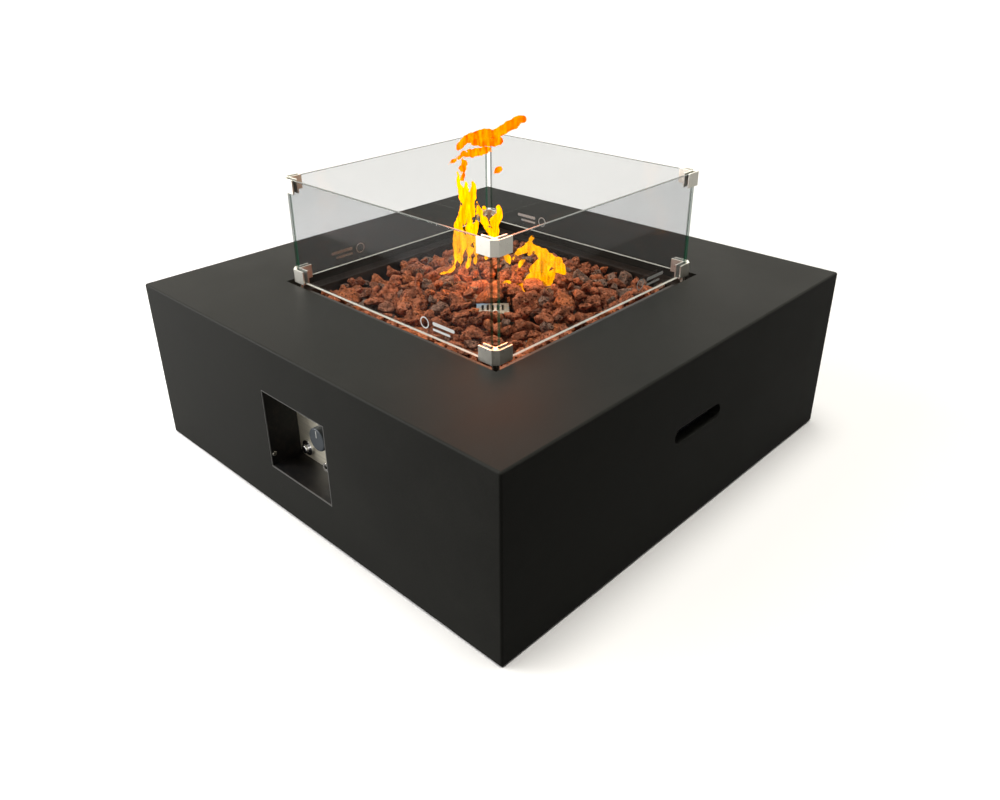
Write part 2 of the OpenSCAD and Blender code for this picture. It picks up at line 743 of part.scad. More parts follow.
module gas_valve() {
    color([0.78, 0.66, 0.38]) difference() {
        union() {
            rod_y(0, knob_z, neck_front, panel_back + cut, neck_r);
            rod_y(0, knob_z, panel_back, barrel_end, barrel_r);
            rod_y(0, knob_z, barrel_end - cut, hose_start, 6);
            box_at(-22, inlet_x + 10, block_front, block_back, knob_z - 14, knob_z + 22);
            translate([inlet_x, pipe_y, knob_z - 24]) cylinder(h = 12, r = pipe_r + 3);
        }
        rod_y(0, knob_z, neck_front - cut, shoulder_y + cut, stem_r + fit);
        rod_y(0, knob_z, shoulder_y, bore_end, plunger_r + fit);
        rod_y(0, knob_z, bore_end - cut, hose_start + cut, 3);
        translate([inlet_x, pipe_y, knob_z - 24 - cut]) cylinder(h = 7 + cut, r = pipe_r + fit);
        translate([inlet_x, pipe_y, knob_z - 20]) cylinder(h = 20, r = 3);
        for (p = [pilot_port, sense_port])
            rod_y(p[0], knob_z + p[1], block_back - 8, block_back + cut, 2.6);
    }
}

module valve_nut() {
    color([0.75, 0.75, 0.75]) difference() {
        hex_y(0, knob_z, neck_front, panel_y, nut_flat_r);
        rod_y(0, knob_z, neck_front - cut, panel_y + cut, neck_r + fit);
    }
}

module valve_plunger() {
    color([0.8, 0.7, 0.4]) difference() {
        rod_y(0, knob_z, shoulder_y, shoulder_y + plunger_l, plunger_r);
        rod_y(0, knob_z, shoulder_y - cut, stem_back + fit, stem_r + fit);
    }
}

module valve_spring() {
    wire = 0.7;
    color([0.6, 0.6, 0.62]) translate([0, 0, knob_z])
        sweep(coil(plunger_r - 2, shoulder_y + plunger_l + wire, bore_end - wire, 4, 14), wire, [0, 1, 0], 6);
}

module valve_stem() {
    color([0.7, 0.7, 0.72]) difference() {
        rod_y(0, knob_z, stem_front, stem_back, stem_r);
        box_at(-stem_r, stem_r, stem_front - cut, stem_front + 9, knob_z + stem_r - 1, knob_z + 2 * stem_r);
    }
}

module control_knob() {
    round = 2.5;
    deep = 7;
    color([0.24, 0.26, 0.29]) difference() {
        translate([0, knob_front, knob_z]) rotate([-90, 0, 0]) union() {
            translate([0, 0, round]) cylinder(h = knob_l - round, r = knob_r);
            cylinder(h = knob_l / 2, r = knob_r - round);
            translate([0, 0, round]) rotate_extrude()
                translate([knob_r - round, 0]) circle(r = round, $fn = 32);
        }
        rod_y(0, knob_z, knob_back - deep, knob_back + cut, knob_r - 3);
        difference() {
            rod_y(0, knob_z, stem_front - fit, knob_back, stem_r + fit);
            box_at(-stem_r, stem_r, stem_front - cut, stem_front + 8,
                knob_z + stem_r - 1 + fit, knob_z + 2 * stem_r);
        }
        box_at(-0.9, 0.9, knob_front - cut, knob_front + 0.6, knob_z + 4, knob_z + knob_r - 4);
    }
}

module knob_pointer() {
    color([0.85, 0.85, 0.85])
        box_at(-0.85, 0.85, knob_front - 0.1, knob_front + 0.6, knob_z + 4.05, knob_z + knob_r - 4.05);
}

module igniter_body() {
    color([0.13, 0.13, 0.13]) difference() {
        union() {
            rod_y(igniter_x, igniter_z, panel_y - 4, igniter_end, igniter_r);
            rod_y(igniter_x, igniter_z, panel_back, panel_back + 3, igniter_r + 3);
        }
        rod_y(igniter_x, igniter_z, panel_y - 4 - cut, collar_y + cut, button_r + fit);
        rod_y(igniter_x, igniter_z, collar_y, battery_y - 1, collar_r + fit);
        rod_y(igniter_x, igniter_z, collar_y, battery_y + battery_l + fit, battery_r + fit);
        rod_y(igniter_x, igniter_z, battery_y, igniter_end + cut, 2.6);
    }
}

module igniter_bezel() {
    color([0.82, 0.82, 0.84]) difference() {
        rod_y(igniter_x, igniter_z, panel_y - 5, panel_y, igniter_r + 3);
        rod_y(igniter_x, igniter_z, panel_y - 4, panel_y + cut, igniter_r + fit);
        rod_y(igniter_x, igniter_z, panel_y - 5 - cut, panel_y, button_r + seat);
    }
}

module igniter_button() {
    round = 2;
    tip = panel_y - button_out;
    color([0.85, 0.85, 0.87]) {
        rod_y(igniter_x, igniter_z, tip + round, collar_y + collar_l, button_r);
        rod_y(igniter_x, igniter_z, tip, tip + 2 * round, button_r - round);
        translate([igniter_x, tip + round, igniter_z]) rotate([-90, 0, 0]) rotate_extrude()
            translate([button_r - round, 0]) circle(r = round, $fn = 32);
        rod_y(igniter_x, igniter_z, collar_y, collar_y + collar_l, collar_r);
    }
}

module igniter_spring() {
    wire = 0.5;
    color([0.6, 0.6, 0.62]) translate([igniter_x, 0, igniter_z])
        sweep(coil(button_r - 2.5, collar_y + collar_l + wire, battery_y - wire, 4, 14), wire, [0, 1, 0], 6);
}

module battery() {
    color([0.35, 0.4, 0.45]) {
        rod_y(igniter_x, igniter_z, battery_y + 1, battery_y + battery_l, battery_r);
        rod_y(igniter_x, igniter_z, battery_y, battery_y + 2, 2.7);
    }
}

module inlet_fitting() {
    color([0.72, 0.72, 0.72]) difference() {
        union() {
            rod_y(inlet_x, inlet_z, inlet_front, inlet_back, inlet_r);
            hex_y(inlet_x, inlet_z, panel_y - inlet_hex_l, panel_y, inlet_hex);
        }
        rod_y(inlet_x, inlet_z, inlet_front - cut, inlet_back + cut, 4.5);
        rod_y(inlet_x, inlet_z, inlet_back - 6, inlet_back + cut, pipe_r + fit);
    }
}

module inlet_nut() {
    color([0.75, 0.75, 0.75]) difference() {
        hex_y(inlet_x, inlet_z, panel_back, panel_back + 5, inlet_hex);
        rod_y(inlet_x, inlet_z, panel_back - cut, panel_back + 5 + cut, inlet_r + fit);
    }
}

module inlet_pipe() {
    color([0.72, 0.72, 0.72]) {
        rod_y(inlet_x, inlet_z, inlet_back - 6, pipe_y - pipe_bend, pipe_r);
        translate([inlet_x, 0, 0]) bend_x(pipe_y - pipe_bend, inlet_z + pipe_bend, 270, pipe_bend, pipe_r);
        translate([inlet_x, pipe_y, inlet_z + pipe_bend])
            cylinder(h = pipe_top - inlet_z - pipe_bend, r = pipe_r);
    }
}

// One pane, drawn at the front and turned to its side.
module glass(a) {
    color([0.75, 0.85, 0.82, 0.35]) rotate([0, 0, a])
        box_at(-glass_l / 2, glass_l / 2, -glass_half, -glass_half + glass_t, glass_z, glass_z + glass_h);
}

// Outline of a clip at the front right corner, seen from above.
module clip_outline() {
    inner = clip_half - clip_deep;
    polygon([
        [clip_half - clip_arm, -clip_half], [clip_half - clip_c, -clip_half],
        [clip_half, -clip_half + clip_c], [clip_half, -clip_half + clip_arm],
        [inner, -clip_half + clip_arm], [inner, -inner], [clip_half - clip_arm, -inner]
    ]);
}

// A clip with its two glass slots. "closed" is the thickness of its floor.
module clip(z, closed, a) {
    end = glass_half - glass_stop + seat;
    near = glass_half + pad_t;
    far = glass_half - glass_t - pad_t;
    screw_z = clip_h / 2;
    color([0.80, 0.80, 0.78]) rotate([0, 0, a]) translate([0, 0, z]) difference() {
        linear_extrude(clip_h) clip_outline();
        box_at(0, end, -near, -far, closed, clip_h + cut);
        box_at(far, near, -end, 0, closed, clip_h + cut);
        if (closed == 0) {
            box_at(0, end, -near, -far, -cut, cut);
            box_at(far, near, -end, 0, -cut, cut);
        }
        rod_y(screw_at, screw_z, -far - cut, -far + clip_t + cut, grub_r + fit);
        translate([far + cut, -screw_at, screw_z]) rotate([0, -90, 0])
            cylinder(h = clip_t + 2 * cut, r = grub_r + fit);
    }
}

module lower_clip(a) {
    clip(clip_low_z, clip_over, a);
}

module upper_clip(a) {
    clip(clip_high_z, 0, a);
}

module clip_pads() {
    end = glass_half - glass_stop - 1;
    start = clip_half - clip_arm + 1;
    color([0.8, 0.8, 0.8, 0.6]) for (a = [0 : 90 : 270], z = [clip_low_z + clip_over + 1, clip_high_z + 1])
        rotate([0, 0, a]) for (y = [-glass_half - pad_t, -glass_half + glass_t]) {
            h = clip_h - 2 * clip_over - 1;
            box_at(start, end, y, y + pad_t, z, z + h);
            box_at(-y - pad_t, -y, -end, -start, z, z + h);
        }
}

module grub_screw() {
    far = glass_half - glass_t - pad_t;
    rod_y(screw_at, 0, -far, -far + clip_t, grub_r);
    rod_y(screw_at, 0, -far + clip_t, -far + clip_t + grub_head_h, grub_head_r);
}

module clip_screws() {
    color([0.7, 0.7, 0.7]) for (a = [0 : 90 : 270], z = [clip_low_z, clip_high_z])
        translate([0, 0, z + clip_h / 2]) rotate([0, 0, a]) {
            grub_screw();
            mirror([1, 1, 0]) grub_screw();
        }
}

module clip_posts() {
    color([0.75, 0.75, 0.75]) for (a = [0 : 90 : 270]) rotate([0, 0, a])
        translate([post_at, -post_at, flange_top]) cylinder(h = post_h, r = post_r);
}

concrete_shell();
foot_pads();
burner_pan();
lava_rock_bed();
burner();
burner_brackets();
bracket_screws();
burner_locknut();
air_mixer();
orifice();
burner_hose();
hose_nuts();
pilot_guard();
pilot_bracket();
pilot_hood();
thermocouple();
spark_electrode();
pilot_tube();
thermocouple_lead();
ignition_lead();
line_clip();
control_box();
box_screws();
control_panel();
panel_screws();
gas_valve();
valve_nut();
valve_plunger();
valve_spring();
valve_stem();
control_knob();
knob_pointer();
igniter_body();
igniter_bezel();
igniter_button();
igniter_spring();
battery();
inlet_fitting();
inlet_nut();
inlet_pipe();
glass(0);  // glass_front
glass(90);  // glass_right
glass(180);  // glass_back
glass(270);  // glass_left
lower_clip(0);  // lower_clip_front_right
lower_clip(90);  // lower_clip_back_right
lower_clip(180);  // lower_clip_back_left
lower_clip(270);  // lower_clip_front_left
upper_clip(0);  // upper_clip_front_right
upper_clip(90);  // upper_clip_back_right
upper_clip(180);  // upper_clip_back_left
upper_clip(270);  // upper_clip_front_left
clip_pads();
clip_screws();
clip_posts();
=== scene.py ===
"""Gas fire-pit table with a glass wind guard: its finishes, its lava rock and the studio round it."""
import math

import bmesh
import bpy
import numpy as np
from bpy.props import (
    FloatProperty, FloatVectorProperty, IntProperty, PointerProperty,
)
from mathutils import Matrix, Vector


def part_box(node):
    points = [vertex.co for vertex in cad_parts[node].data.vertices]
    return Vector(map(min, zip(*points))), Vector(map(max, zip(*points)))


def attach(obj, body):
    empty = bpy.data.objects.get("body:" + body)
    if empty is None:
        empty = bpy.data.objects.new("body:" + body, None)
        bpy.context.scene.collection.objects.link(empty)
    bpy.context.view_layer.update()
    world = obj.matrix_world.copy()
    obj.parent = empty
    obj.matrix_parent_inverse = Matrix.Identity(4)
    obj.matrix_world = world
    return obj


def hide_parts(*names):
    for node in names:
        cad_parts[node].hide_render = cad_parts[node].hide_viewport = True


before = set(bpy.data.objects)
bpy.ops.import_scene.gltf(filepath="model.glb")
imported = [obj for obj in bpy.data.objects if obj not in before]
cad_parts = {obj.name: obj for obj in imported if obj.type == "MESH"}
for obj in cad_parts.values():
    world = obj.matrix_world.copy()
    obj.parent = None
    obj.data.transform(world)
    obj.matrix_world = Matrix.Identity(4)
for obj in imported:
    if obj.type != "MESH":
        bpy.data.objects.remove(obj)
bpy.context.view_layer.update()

bl_info = {
    "name": "Fire-pit table",
    "version": (1, 0, 0),
    "blender": (4, 5, 0),
    "location": "3D View > Sidebar > Fire pit",
    "description": "Finishes a gas fire-pit table with a glass wind guard and sets up its studio",
    "category": "Object",
}

MM = 0.001
TABLE = "table"
GUARD = "wind_guard"
SIDES = ("front", "right", "back", "left")
CORNERS = ("front_right", "back_right", "back_left", "front_left")


def linear(code):
    """The linear colour of an sRGB hex value such as "#3F3F3B"."""
    parts = [int(code[i:i + 2], 16) / 255 for i in (1, 3, 5)]
    return tuple(c / 12.92 if c <= 0.04045 else ((c + 0.055) / 1.055) ** 2.4 for c in parts)


def rgba(colour):
    return (*tuple(colour)[:3], 1.0)


def per(mm):
    """Texture scale whose features are about this many millimetres across."""
    return 1 / (mm * MM)


def colour_prop(name, code, text):
    return FloatVectorProperty(name=name, description=text, subtype="COLOR", default=linear(code),
                               min=0, max=1)


def length_prop(name, mm, text, low=0.0, high=5000.0):
    return FloatProperty(name=name, description=text, default=mm * MM, min=low * MM, max=high * MM,
                         unit="LENGTH", precision=4)


def strength_prop(name, value, text):
    return FloatProperty(name=name, description=text, default=value, min=0.0)


def angle_prop(name, degrees, text):
    return FloatProperty(name=name, description=text, default=math.radians(degrees), subtype="ANGLE")


# ---------------------------------------------------------------- settings

class ConcreteSettings(bpy.types.PropertyGroup):
    """Cast concrete and the rubber under it."""
    colour: colour_prop("Colour", "#2B2B29", "Colour of the charcoal concrete")
    cloud: length_prop("Cloud", 170, "Size of the pale and dark clouds in the surface")
    sand: length_prop("Sand", 1.6, "Size of the sand grain that shows in the surface")
    pinhole: length_prop("Pinhole", 2.2, "Size of the air holes left by casting")
    edge: length_prop("Broken edge", 1.0, "Width of the worn edge round openings")
    rubber: colour_prop("Rubber", "#1B1B1B", "Colour of the feet")


class RockSettings(bpy.types.PropertyGroup):
    """The lava rock in the pan."""
    small: length_prop("Smallest stone", 25, "Width of the smallest stone")
    large: length_prop("Largest stone", 50, "Width of the largest stone")
    crumb: length_prop("Crumb", 15, "Width of the crumbs that fill the gaps")
    edge_depth: length_prop("Depth at the wall", 3, "Distance from the pan's flange down to the stones")
    crown: length_prop("Crown", 17, "Rise of the stones in the middle of the bed")
    seed: IntProperty(name="Seed", description="Start of the random draws", default=7, min=0)
    red: colour_prop("Red", "#DC835C", "Colour of the common red stones")
    brown: colour_prop("Brown", "#B0694A", "Colour of the darker stones")
    grey: colour_prop("Grey", "#9A8678", "Colour of the few grey stones")
    rust: colour_prop("Rust", "#E48452", "Colour of the bright rusty stones")


class MetalSettings(bpy.types.PropertyGroup):
    """Sheet, clips, brass and the controls."""
    stainless: colour_prop("Stainless", "#BDBBB6", "Colour of stainless steel")
    panel: colour_prop("Panel", "#E6E1D2", "Colour of the control panel's brushed stainless steel")
    clip: colour_prop("Clip", "#E9E6DD", "Colour of the satin clips")
    brass: colour_prop("Brass", "#C8A45A", "Colour of turned brass")
    aluminium: colour_prop("Aluminium", "#C4C5C6", "Colour of drawn aluminium tube")
    copper: colour_prop("Copper", "#B87048", "Colour of the copper lead")
    chrome: colour_prop("Chrome", "#DCDDE0", "Colour of the chromed igniter")
    powder: colour_prop("Black coat", "#1C1A18", "Colour of the pan's black powder coat")
    # The box coat is darker than the pan's: partly its own black, partly painted shade of the recess it
    # sits in.
    box: colour_prop("Box coat", "#0D0E10", "Colour of the control box's black powder coat")
    brush: length_prop("Brush line", 2.2, "Spacing of the brush lines on the panel")
    knob: colour_prop("Knob", "#3C4248", "Colour of the knob")
    lead: colour_prop("Lead", "#A8402C", "Colour of the silicone ignition lead")


class GlassSettings(bpy.types.PropertyGroup):
    """The panes and what is etched in them."""
    arris: length_prop("Arris", 0.8, "Width of the ground-off edge of a pane")
    tint: colour_prop("Tint", "#EBECED", "Light that one surface of a pane lets through")
    end: colour_prop("End", "#0E6B4E", "Colour seen through the length of a pane, at its ends")
    top: colour_prop("Top edge", "#3A4543", "Colour of the upper edge")
    # The bright lower edge is a painted highlight.
    foot: colour_prop("Bottom edge", "#F2EFE2", "Colour of the bright lower edge")
    ring: length_prop("Ring", 10, "Outer radius of the etched ring")
    mark_side: length_prop("Mark place", 103, "Distance of the ring from the middle of its pane")
    mark_up: length_prop("Mark height", 22, "Height of the ring's centre above the pane's lower edge")


class StageSettings(bpy.types.PropertyGroup):
    """Floor, light, flames and camera."""
    floor: colour_prop("Floor", "#FCFCFD", "Colour of the floor")
    floor_size: FloatProperty(name="Floor size", description="Width of the floor", default=120.0,
                              min=4.0, unit="LENGTH")
    sky: colour_prop("Sky", "#F0ECE2", "Colour of the light from all round")
    key: strength_prop("Key light", 0.8, "Strength of the main light")
    top: strength_prop("Top light", 3.0, "Strength of the overhead light")
    side: strength_prop("Side light", 26.0, "Power of the soft light by the controls")
    fill: strength_prop("Fill", 0.14, "Strength of the light from above the horizon")
    ground: strength_prop("Ground", 0.03, "Strength of the light from below the horizon")
    mirrored: strength_prop("Mirrored", 0.5, "How bright the studio is in a reflection")
    flame: colour_prop("Flame", "#FFAC00", "Colour of the flames")
    tip: colour_prop("Flame tip", "#FFC600", "Colour of the cooler tips of the flames")
    glow: strength_prop("Glow", 0.32, "Strength of the light from the flames")
    azimuth: angle_prop("Azimuth", 44.76, "Camera's turn round the table")
    elevation: angle_prop("Elevation", 27.34, "Camera's angle above the ground")
    roll: angle_prop("Roll", -0.857, "Camera's tilt to one side")
    distance: FloatProperty(name="Distance", description="From the camera to the point it aims at",
                            default=1.9468, unit="LENGTH")
    lens: FloatProperty(name="Lens", description="Focal length in millimetres", default=30.77)


SETTINGS = {
    "pit_concrete": ConcreteSettings, "pit_rock": RockSettings, "pit_metal": MetalSettings,
    "pit_glass": GlassSettings, "pit_stage": StageSettings,
}


# ---------------------------------------------------------------- helpers

def add(tree, kind, inputs=(), **settings):
    """Adds one shader node. An input takes a value, an output, or a node for its first output in use."""
    made = tree.nodes.new("ShaderNode" + kind)
    for key, value in settings.items():
        setattr(made, key, value)
    for key, value in inputs.items() if isinstance(inputs, dict) else enumerate(inputs):
        socket = made.inputs[key]
        if isinstance(value, bpy.types.Node):
            value = next(output for output in value.outputs if output.enabled)
        if isinstance(value, bpy.types.NodeSocket):
            tree.links.new(value, socket)
        else:
            socket.default_value = rgba(value) if socket.type == "RGBA" else value
    return made


def new_material(name):
    """A new material without a surface: it, its tree and the coordinates of the piece it is on."""
    material = bpy.data.materials.new(name)
    material.use_nodes = True
    tree = material.node_tree
    tree.nodes.clear()
    return material, tree, add(tree, "TexCoord").outputs["Object"]


def surfaced(material, tree, tone, rough, bumps=None, **others):
    """Ends a material with one principled surface and returns it."""
    inputs = {"Base Color": tone, "Roughness": rough}
    if bumps is not None:
        inputs["Normal"] = bumps
    inputs.update((key.replace("_", " "), value) for key, value in others.items())
    add(tree, "OutputMaterial", {"Surface": add(tree, "BsdfPrincipled", inputs)})
    return material


def patches(tree, place, mm, detail, roughness, span, amount=(0, 1), swirl=0.0):
    """Soft patches this many mm across. They run through "amount" where the cloud is within "span"."""
    cloud = add(tree, "TexNoise", {"Vector": place, "Scale": per(mm), "Detail": detail,
                                   "Roughness": roughness, "Distortion": swirl})
    return add(tree, "MapRange", (cloud, *span, *amount))


def relief(tree, place, mm, depth_mm, strength, detail=2, roughness=0.55):
    """Shallow bumps this many mm across and deep."""
    height = add(tree, "TexNoise", {"Vector": place, "Scale": per(mm), "Detail": detail,
                                    "Roughness": roughness})
    return add(tree, "Bump", {"Height": height, "Distance": depth_mm * MM, "Strength": strength})


def shades(colour, *factors):
    """A colour made darker or lighter by each factor."""
    return [[min(1.0, factor * c) for c in colour] for factor in factors]


def finish_part(name, material, round_mm=0.4, segments=2):
    """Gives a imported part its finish: seams welded, edges broken and its faces shaded smooth."""
    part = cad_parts[name]
    mesh = part.data
    mesh.materials.clear()
    mesh.materials.append(material)
    for layer in ("custom_normal", "sharp_face", "sharp_edge"):
        if layer in mesh.attributes:
            mesh.attributes.remove(mesh.attributes[layer])
    mesh.polygons.foreach_set("use_smooth", [True] * len(mesh.polygons))
    mesh.polygons.foreach_set("material_index", [0] * len(mesh.polygons))
    weld = part.modifiers.new("weld", "WELD")
    weld.merge_threshold = 1e-5
    flat = part.modifiers.new("flat faces", "DECIMATE")
    flat.decimate_type = "DISSOLVE"
    flat.angle_limit = math.radians(0.5)
    if round_mm:
        edge = part.modifiers.new("broken edges", "BEVEL")
        edge.width = round_mm * MM
        edge.segments = segments
        edge.limit_method = "ANGLE"
        edge.angle_limit = math.radians(32)
        edge.use_clamp_overlap = True
    shade = part.modifiers.new("shading", "WEIGHTED_NORMAL")
    shade.keep_sharp = True
    return part


def finish_parts(names, material, round_mm=0.4):
    for name in names:
        finish_part(name, material, round_mm)


def linked(name, data):
    """A new object in the scene."""
    made = bpy.data.objects.new(name, data)
    bpy.context.scene.collection.objects.link(made)
    return made


def new_piece(name, points, faces, material):
    """A mesh object from points and faces, in the row frame."""
    mesh = bpy.data.meshes.new(name)
    mesh.from_pydata([tuple(p) for p in points], [], [tuple(f) for f in faces])
    mesh.polygons.foreach_set("use_smooth", [True] * len(mesh.polygons))
    mesh.materials.append(material)
    mesh.update()
    return linked(name, mesh)


# ---------------------------------------------------------------- materials

def cast_concrete(s):
    """Glass-fibre concrete, cast face down and sealed with a satin charcoal coat.

    The eye gets a soft sheen, faint pale clouds, a sandy touch and a few small air holes. The sand and
    the holes are drawn coarser than real ones, so that they show.
    """
    material, tree, place = new_material("cast_concrete")
    cloud = patches(tree, place, s.cloud / MM, 5, 0.6, (0.3, 0.7), swirl=0.4)
    strokes = add(tree, "Mapping", {"Vector": place, "Scale": (per(60), per(60), per(22))})
    trowel = add(tree, "TexNoise", {"Vector": strokes, "Scale": per(1000), "Detail": 4, "Roughness": 0.6})
    trowel = add(tree, "MapRange", (trowel, 0.35, 0.65))
    sand = add(tree, "TexNoise", {"Vector": place, "Scale": per(s.sand / MM), "Detail": 4,
                                  "Roughness": 0.7})
    dark, pale, in_hole = shades(s.colour, 0.8, 1.22, 0.3)
    tone = add(tree, "Mix", {0: cloud, 6: dark, 7: pale}, data_type="RGBA")
    trowelled = add(tree, "Math", (trowel, 0.25), operation="MULTIPLY")
    tone = add(tree, "Mix", {0: trowelled, 6: tone, 7: s.colour}, data_type="RGBA")
    specks = add(tree, "MapRange", (sand, 0.35, 0.7, 0.9, 1.12))
    specks = add(tree, "CombineColor", (specks, specks, specks))
    tone = add(tree, "Mix", {0: 1.0, 6: tone, 7: specks}, data_type="RGBA", blend_type="MULTIPLY")
    cells = add(tree, "TexVoronoi", {"Vector": place, "Scale": per(s.pinhole / MM * 7), "Randomness": 1.0})
    some = add(tree, "SeparateColor", (cells.outputs["Color"],))
    some = add(tree, "MapRange", (some, 0.80, 0.82))
    hole = add(tree, "MapRange", (cells, 0.07, 0.03))
    hole = add(tree, "Math", (hole, some), operation="MULTIPLY")
    shadow = add(tree, "Math", (hole, 0.6), operation="MULTIPLY")
    tone = add(tree, "Mix", {0: shadow, 6: tone, 7: in_hole}, data_type="RGBA")
    half_sand = add(tree, "Math", (sand, 0.5), operation="MULTIPLY")
    rough = add(tree, "Math", (cloud, half_sand), operation="ADD")
    rough = add(tree, "MapRange", (rough, 0.3, 1.4, 0.44, 0.6))
    bumps = relief(tree, place, 45, 0.5, 0.35, 3)
    bumps = add(tree, "Bump", {"Height": sand, "Distance": 0.12 * MM, "Strength": 0.6, "Normal": bumps})
    filled = add(tree, "Math", (1.0, hole), operation="SUBTRACT")
    bumps = add(tree, "Bump", {"Height": filled, "Distance": 0.8 * MM, "Strength": 0.8, "Normal": bumps})
    return surfaced(material, tree, tone, rough, bumps, IOR=1.3, Specular_IOR_Level=0.1)


def moulded_rubber(s):
    """Black EPDM rubber, moulded: dull, a little dusty, with a grain drawn coarse enough to show."""
    material, tree, place = new_material("moulded_rubber")
    dust = patches(tree, place, 14, 4, 0.55, (0.45, 0.75), (0, 0.35))
    tone = add(tree, "Mix", {0: dust, 6: s.rubber, 7: linear("#4A4845")}, data_type="RGBA")
    bumps = relief(tree, place, 0.8, 0.08, 0.5)
    return surfaced(material, tree, tone, 0.75, bumps, IOR=1.5, Specular_IOR_Level=0.3)


def powder_coated_steel(name, colour, soot, front=None):
    """Mild steel sheet with a black powder coat: fine orange peel, satin, with brown heat haze.

    Where "front" gives the low corner of a box, its front edge is pale, mostly below: worn coat and a
    painted highlight.
    """
    material, tree, place = new_material(name)
    haze = patches(tree, place, 70, 5, 0.65, (0.35, 0.75), (0, soot), swirl=0.6)
    dust = patches(tree, place, 9, 4, 0.7, (0.5, 0.8), (0, 0.25 + 0.3 * soot))
    tone = add(tree, "Mix", {0: haze, 6: colour, 7: linear("#3A2A20")}, data_type="RGBA")
    tone = add(tree, "Mix", {0: dust, 6: tone, 7: linear("#4B423A")}, data_type="RGBA")
    if front is not None:
        # The pale edge is partly bare steel where the coat wears off, partly a painted highlight where the
        # edge catches light.
        at = add(tree, "SeparateXYZ", (place,)).outputs
        pale_edge_band = add(tree, "MapRange", (at["Y"], front[1] + 2.2 * MM, front[1] + 1.4 * MM))
        lower = add(tree, "MapRange", (at["Z"], front[2] + 5 * MM, front[2] + 3 * MM, 0.15, 0.9))
        bare_and_highlit = add(tree, "Math", (pale_edge_band, lower), operation="MULTIPLY")
        tone = add(tree, "Mix", {0: bare_and_highlit, 6: tone, 7: linear("#E6E6E4")}, data_type="RGBA")
    rough = add(tree, "MapRange", (dust, 0, 0.4, 0.38, 0.62))
    bumps = relief(tree, place, 1.4, 0.06, 0.6)
    return surfaced(material, tree, tone, rough, bumps, IOR=1.5, Specular_IOR_Level=0.3)


def scoria(s):
    """Scoria, a red volcanic rock, broken and tumbled: dull, rough and full of gas bubbles.

    Each stone has its own "tone", and "pit" is high inside a burst bubble, where painted shade darkens it.
    """
    material, tree, place = new_material("scoria")
    tone = add(tree, "Attribute", attribute_name="tone").outputs["Fac"]
    pit = add(tree, "Attribute", attribute_name="pit").outputs["Fac"]
    base = add(tree, "ValToRGB", (tone,))
    stops = base.color_ramp.elements
    stops[0].color, stops[1].color = rgba(s.grey), rgba(s.rust)
    for position, colour in ((0.10, s.grey), (0.18, s.brown), (0.45, s.red), (0.78, s.red), (0.9, s.rust)):
        stops.new(position).color = rgba(colour)
    blotch = patches(tree, place, 11, 5, 0.75, (0.4, 0.62))
    blotch = add(tree, "Math", (blotch, 0.75), operation="MULTIPLY")
    base = add(tree, "Mix", {0: blotch, 6: base, 7: linear("#4E2617")}, data_type="RGBA")
    bloom = patches(tree, place, 5, 5, 0.8, (0.5, 0.66), (0, 0.7))
    base = add(tree, "Mix", {0: bloom, 6: base, 7: linear("#E8A482")}, data_type="RGBA")
    pores = []
    for width, depth in ((6.5, 0.9), (3.0, 0.6)):
        pore = add(tree, "TexVoronoi", {"Vector": place, "Scale": per(width), "Randomness": 1.0})
        pore = add(tree, "MapRange", (pore, 0.36, 0.12))
        pores.append(add(tree, "Math", (pore, depth), operation="MULTIPLY"))
    deep = add(tree, "Math", pores, operation="MAXIMUM")
    burst = add(tree, "Math", (pit, 0.7), operation="MULTIPLY")
    deep = add(tree, "Math", (deep, burst), operation="MAXIMUM")
    # Painted shade: the pores and burst bubbles are darkened to near black.
    base = add(tree, "Mix", {0: deep, 6: base, 7: linear("#1C0A05")}, data_type="RGBA")
    bumps = relief(tree, place, 4.5, 2.2, 0.9, 5, 0.75)
    solid = add(tree, "Math", (1.0, deep), operation="SUBTRACT")
    bumps = add(tree, "Bump", {"Height": solid, "Distance": 2 * MM, "Strength": 1.0, "Normal": bumps})
    return surfaced(material, tree, base, 0.9, bumps, IOR=1.5, Specular_IOR_Level=0.1)


def brushed_steel(name, colour, line_mm, rough=0.28):
    """Stainless steel sheet, brushed with a belt: level lines with a long soft highlight.

    Real lines are finer. These are drawn as coarse as they need to be to show.
    """
    material, tree, place = new_material(name)
    level = add(tree, "Mapping", {"Vector": place, "Scale": (per(80), per(80), per(line_mm))})
    lines = add(tree, "TexNoise", {"Vector": level, "Scale": per(1000), "Detail": 3, "Roughness": 0.7})
    cloud = patches(tree, place, 40, 4, 0.55, (0.4, 0.8), (0, 0.35))
    dark, stain = shades(colour, 0.72, 0.55)
    bright = add(tree, "MapRange", (lines, 0.3, 0.7))
    tone = add(tree, "Mix", {0: bright, 6: dark, 7: colour}, data_type="RGBA")
    tone = add(tree, "Mix", {0: cloud, 6: tone, 7: stain}, data_type="RGBA")
    bumps = add(tree, "Bump", {"Height": lines, "Distance": 0.05 * MM, "Strength": 0.5})
    rough = add(tree, "MapRange", (lines, 0.2, 0.8, rough - 0.08, rough + 0.14))
    return surfaced(material, tree, tone, rough, bumps, Metallic=1.0)


def satin_metal(name, colour, rough, haze):
    """Metal with a mill finish: a soft shine, faint stains and small scratches, drawn wide to show."""
    material, tree, place = new_material(name)
    stain = patches(tree, place, 18, 5, 0.65, (0.35, 0.75), (0, haze))
    tone = add(tree, "Mix", {0: stain, 6: colour, 7: shades(colour, 0.55)[0]}, data_type="RGBA")
    drawn = add(tree, "Mapping", {"Vector": place, "Scale": (per(1.2), per(1.2), per(14))})
    scratch = add(tree, "TexNoise", {"Vector": drawn, "Scale": per(1000), "Detail": 2, "Roughness": 0.8})
    bumps = add(tree, "Bump", {"Height": scratch, "Distance": 0.03 * MM, "Strength": 0.35})
    rough = add(tree, "MapRange", (scratch, 0.3, 0.75, rough * 0.8, rough * 1.35))
    return surfaced(material, tree, tone, rough, bumps, Metallic=1.0)


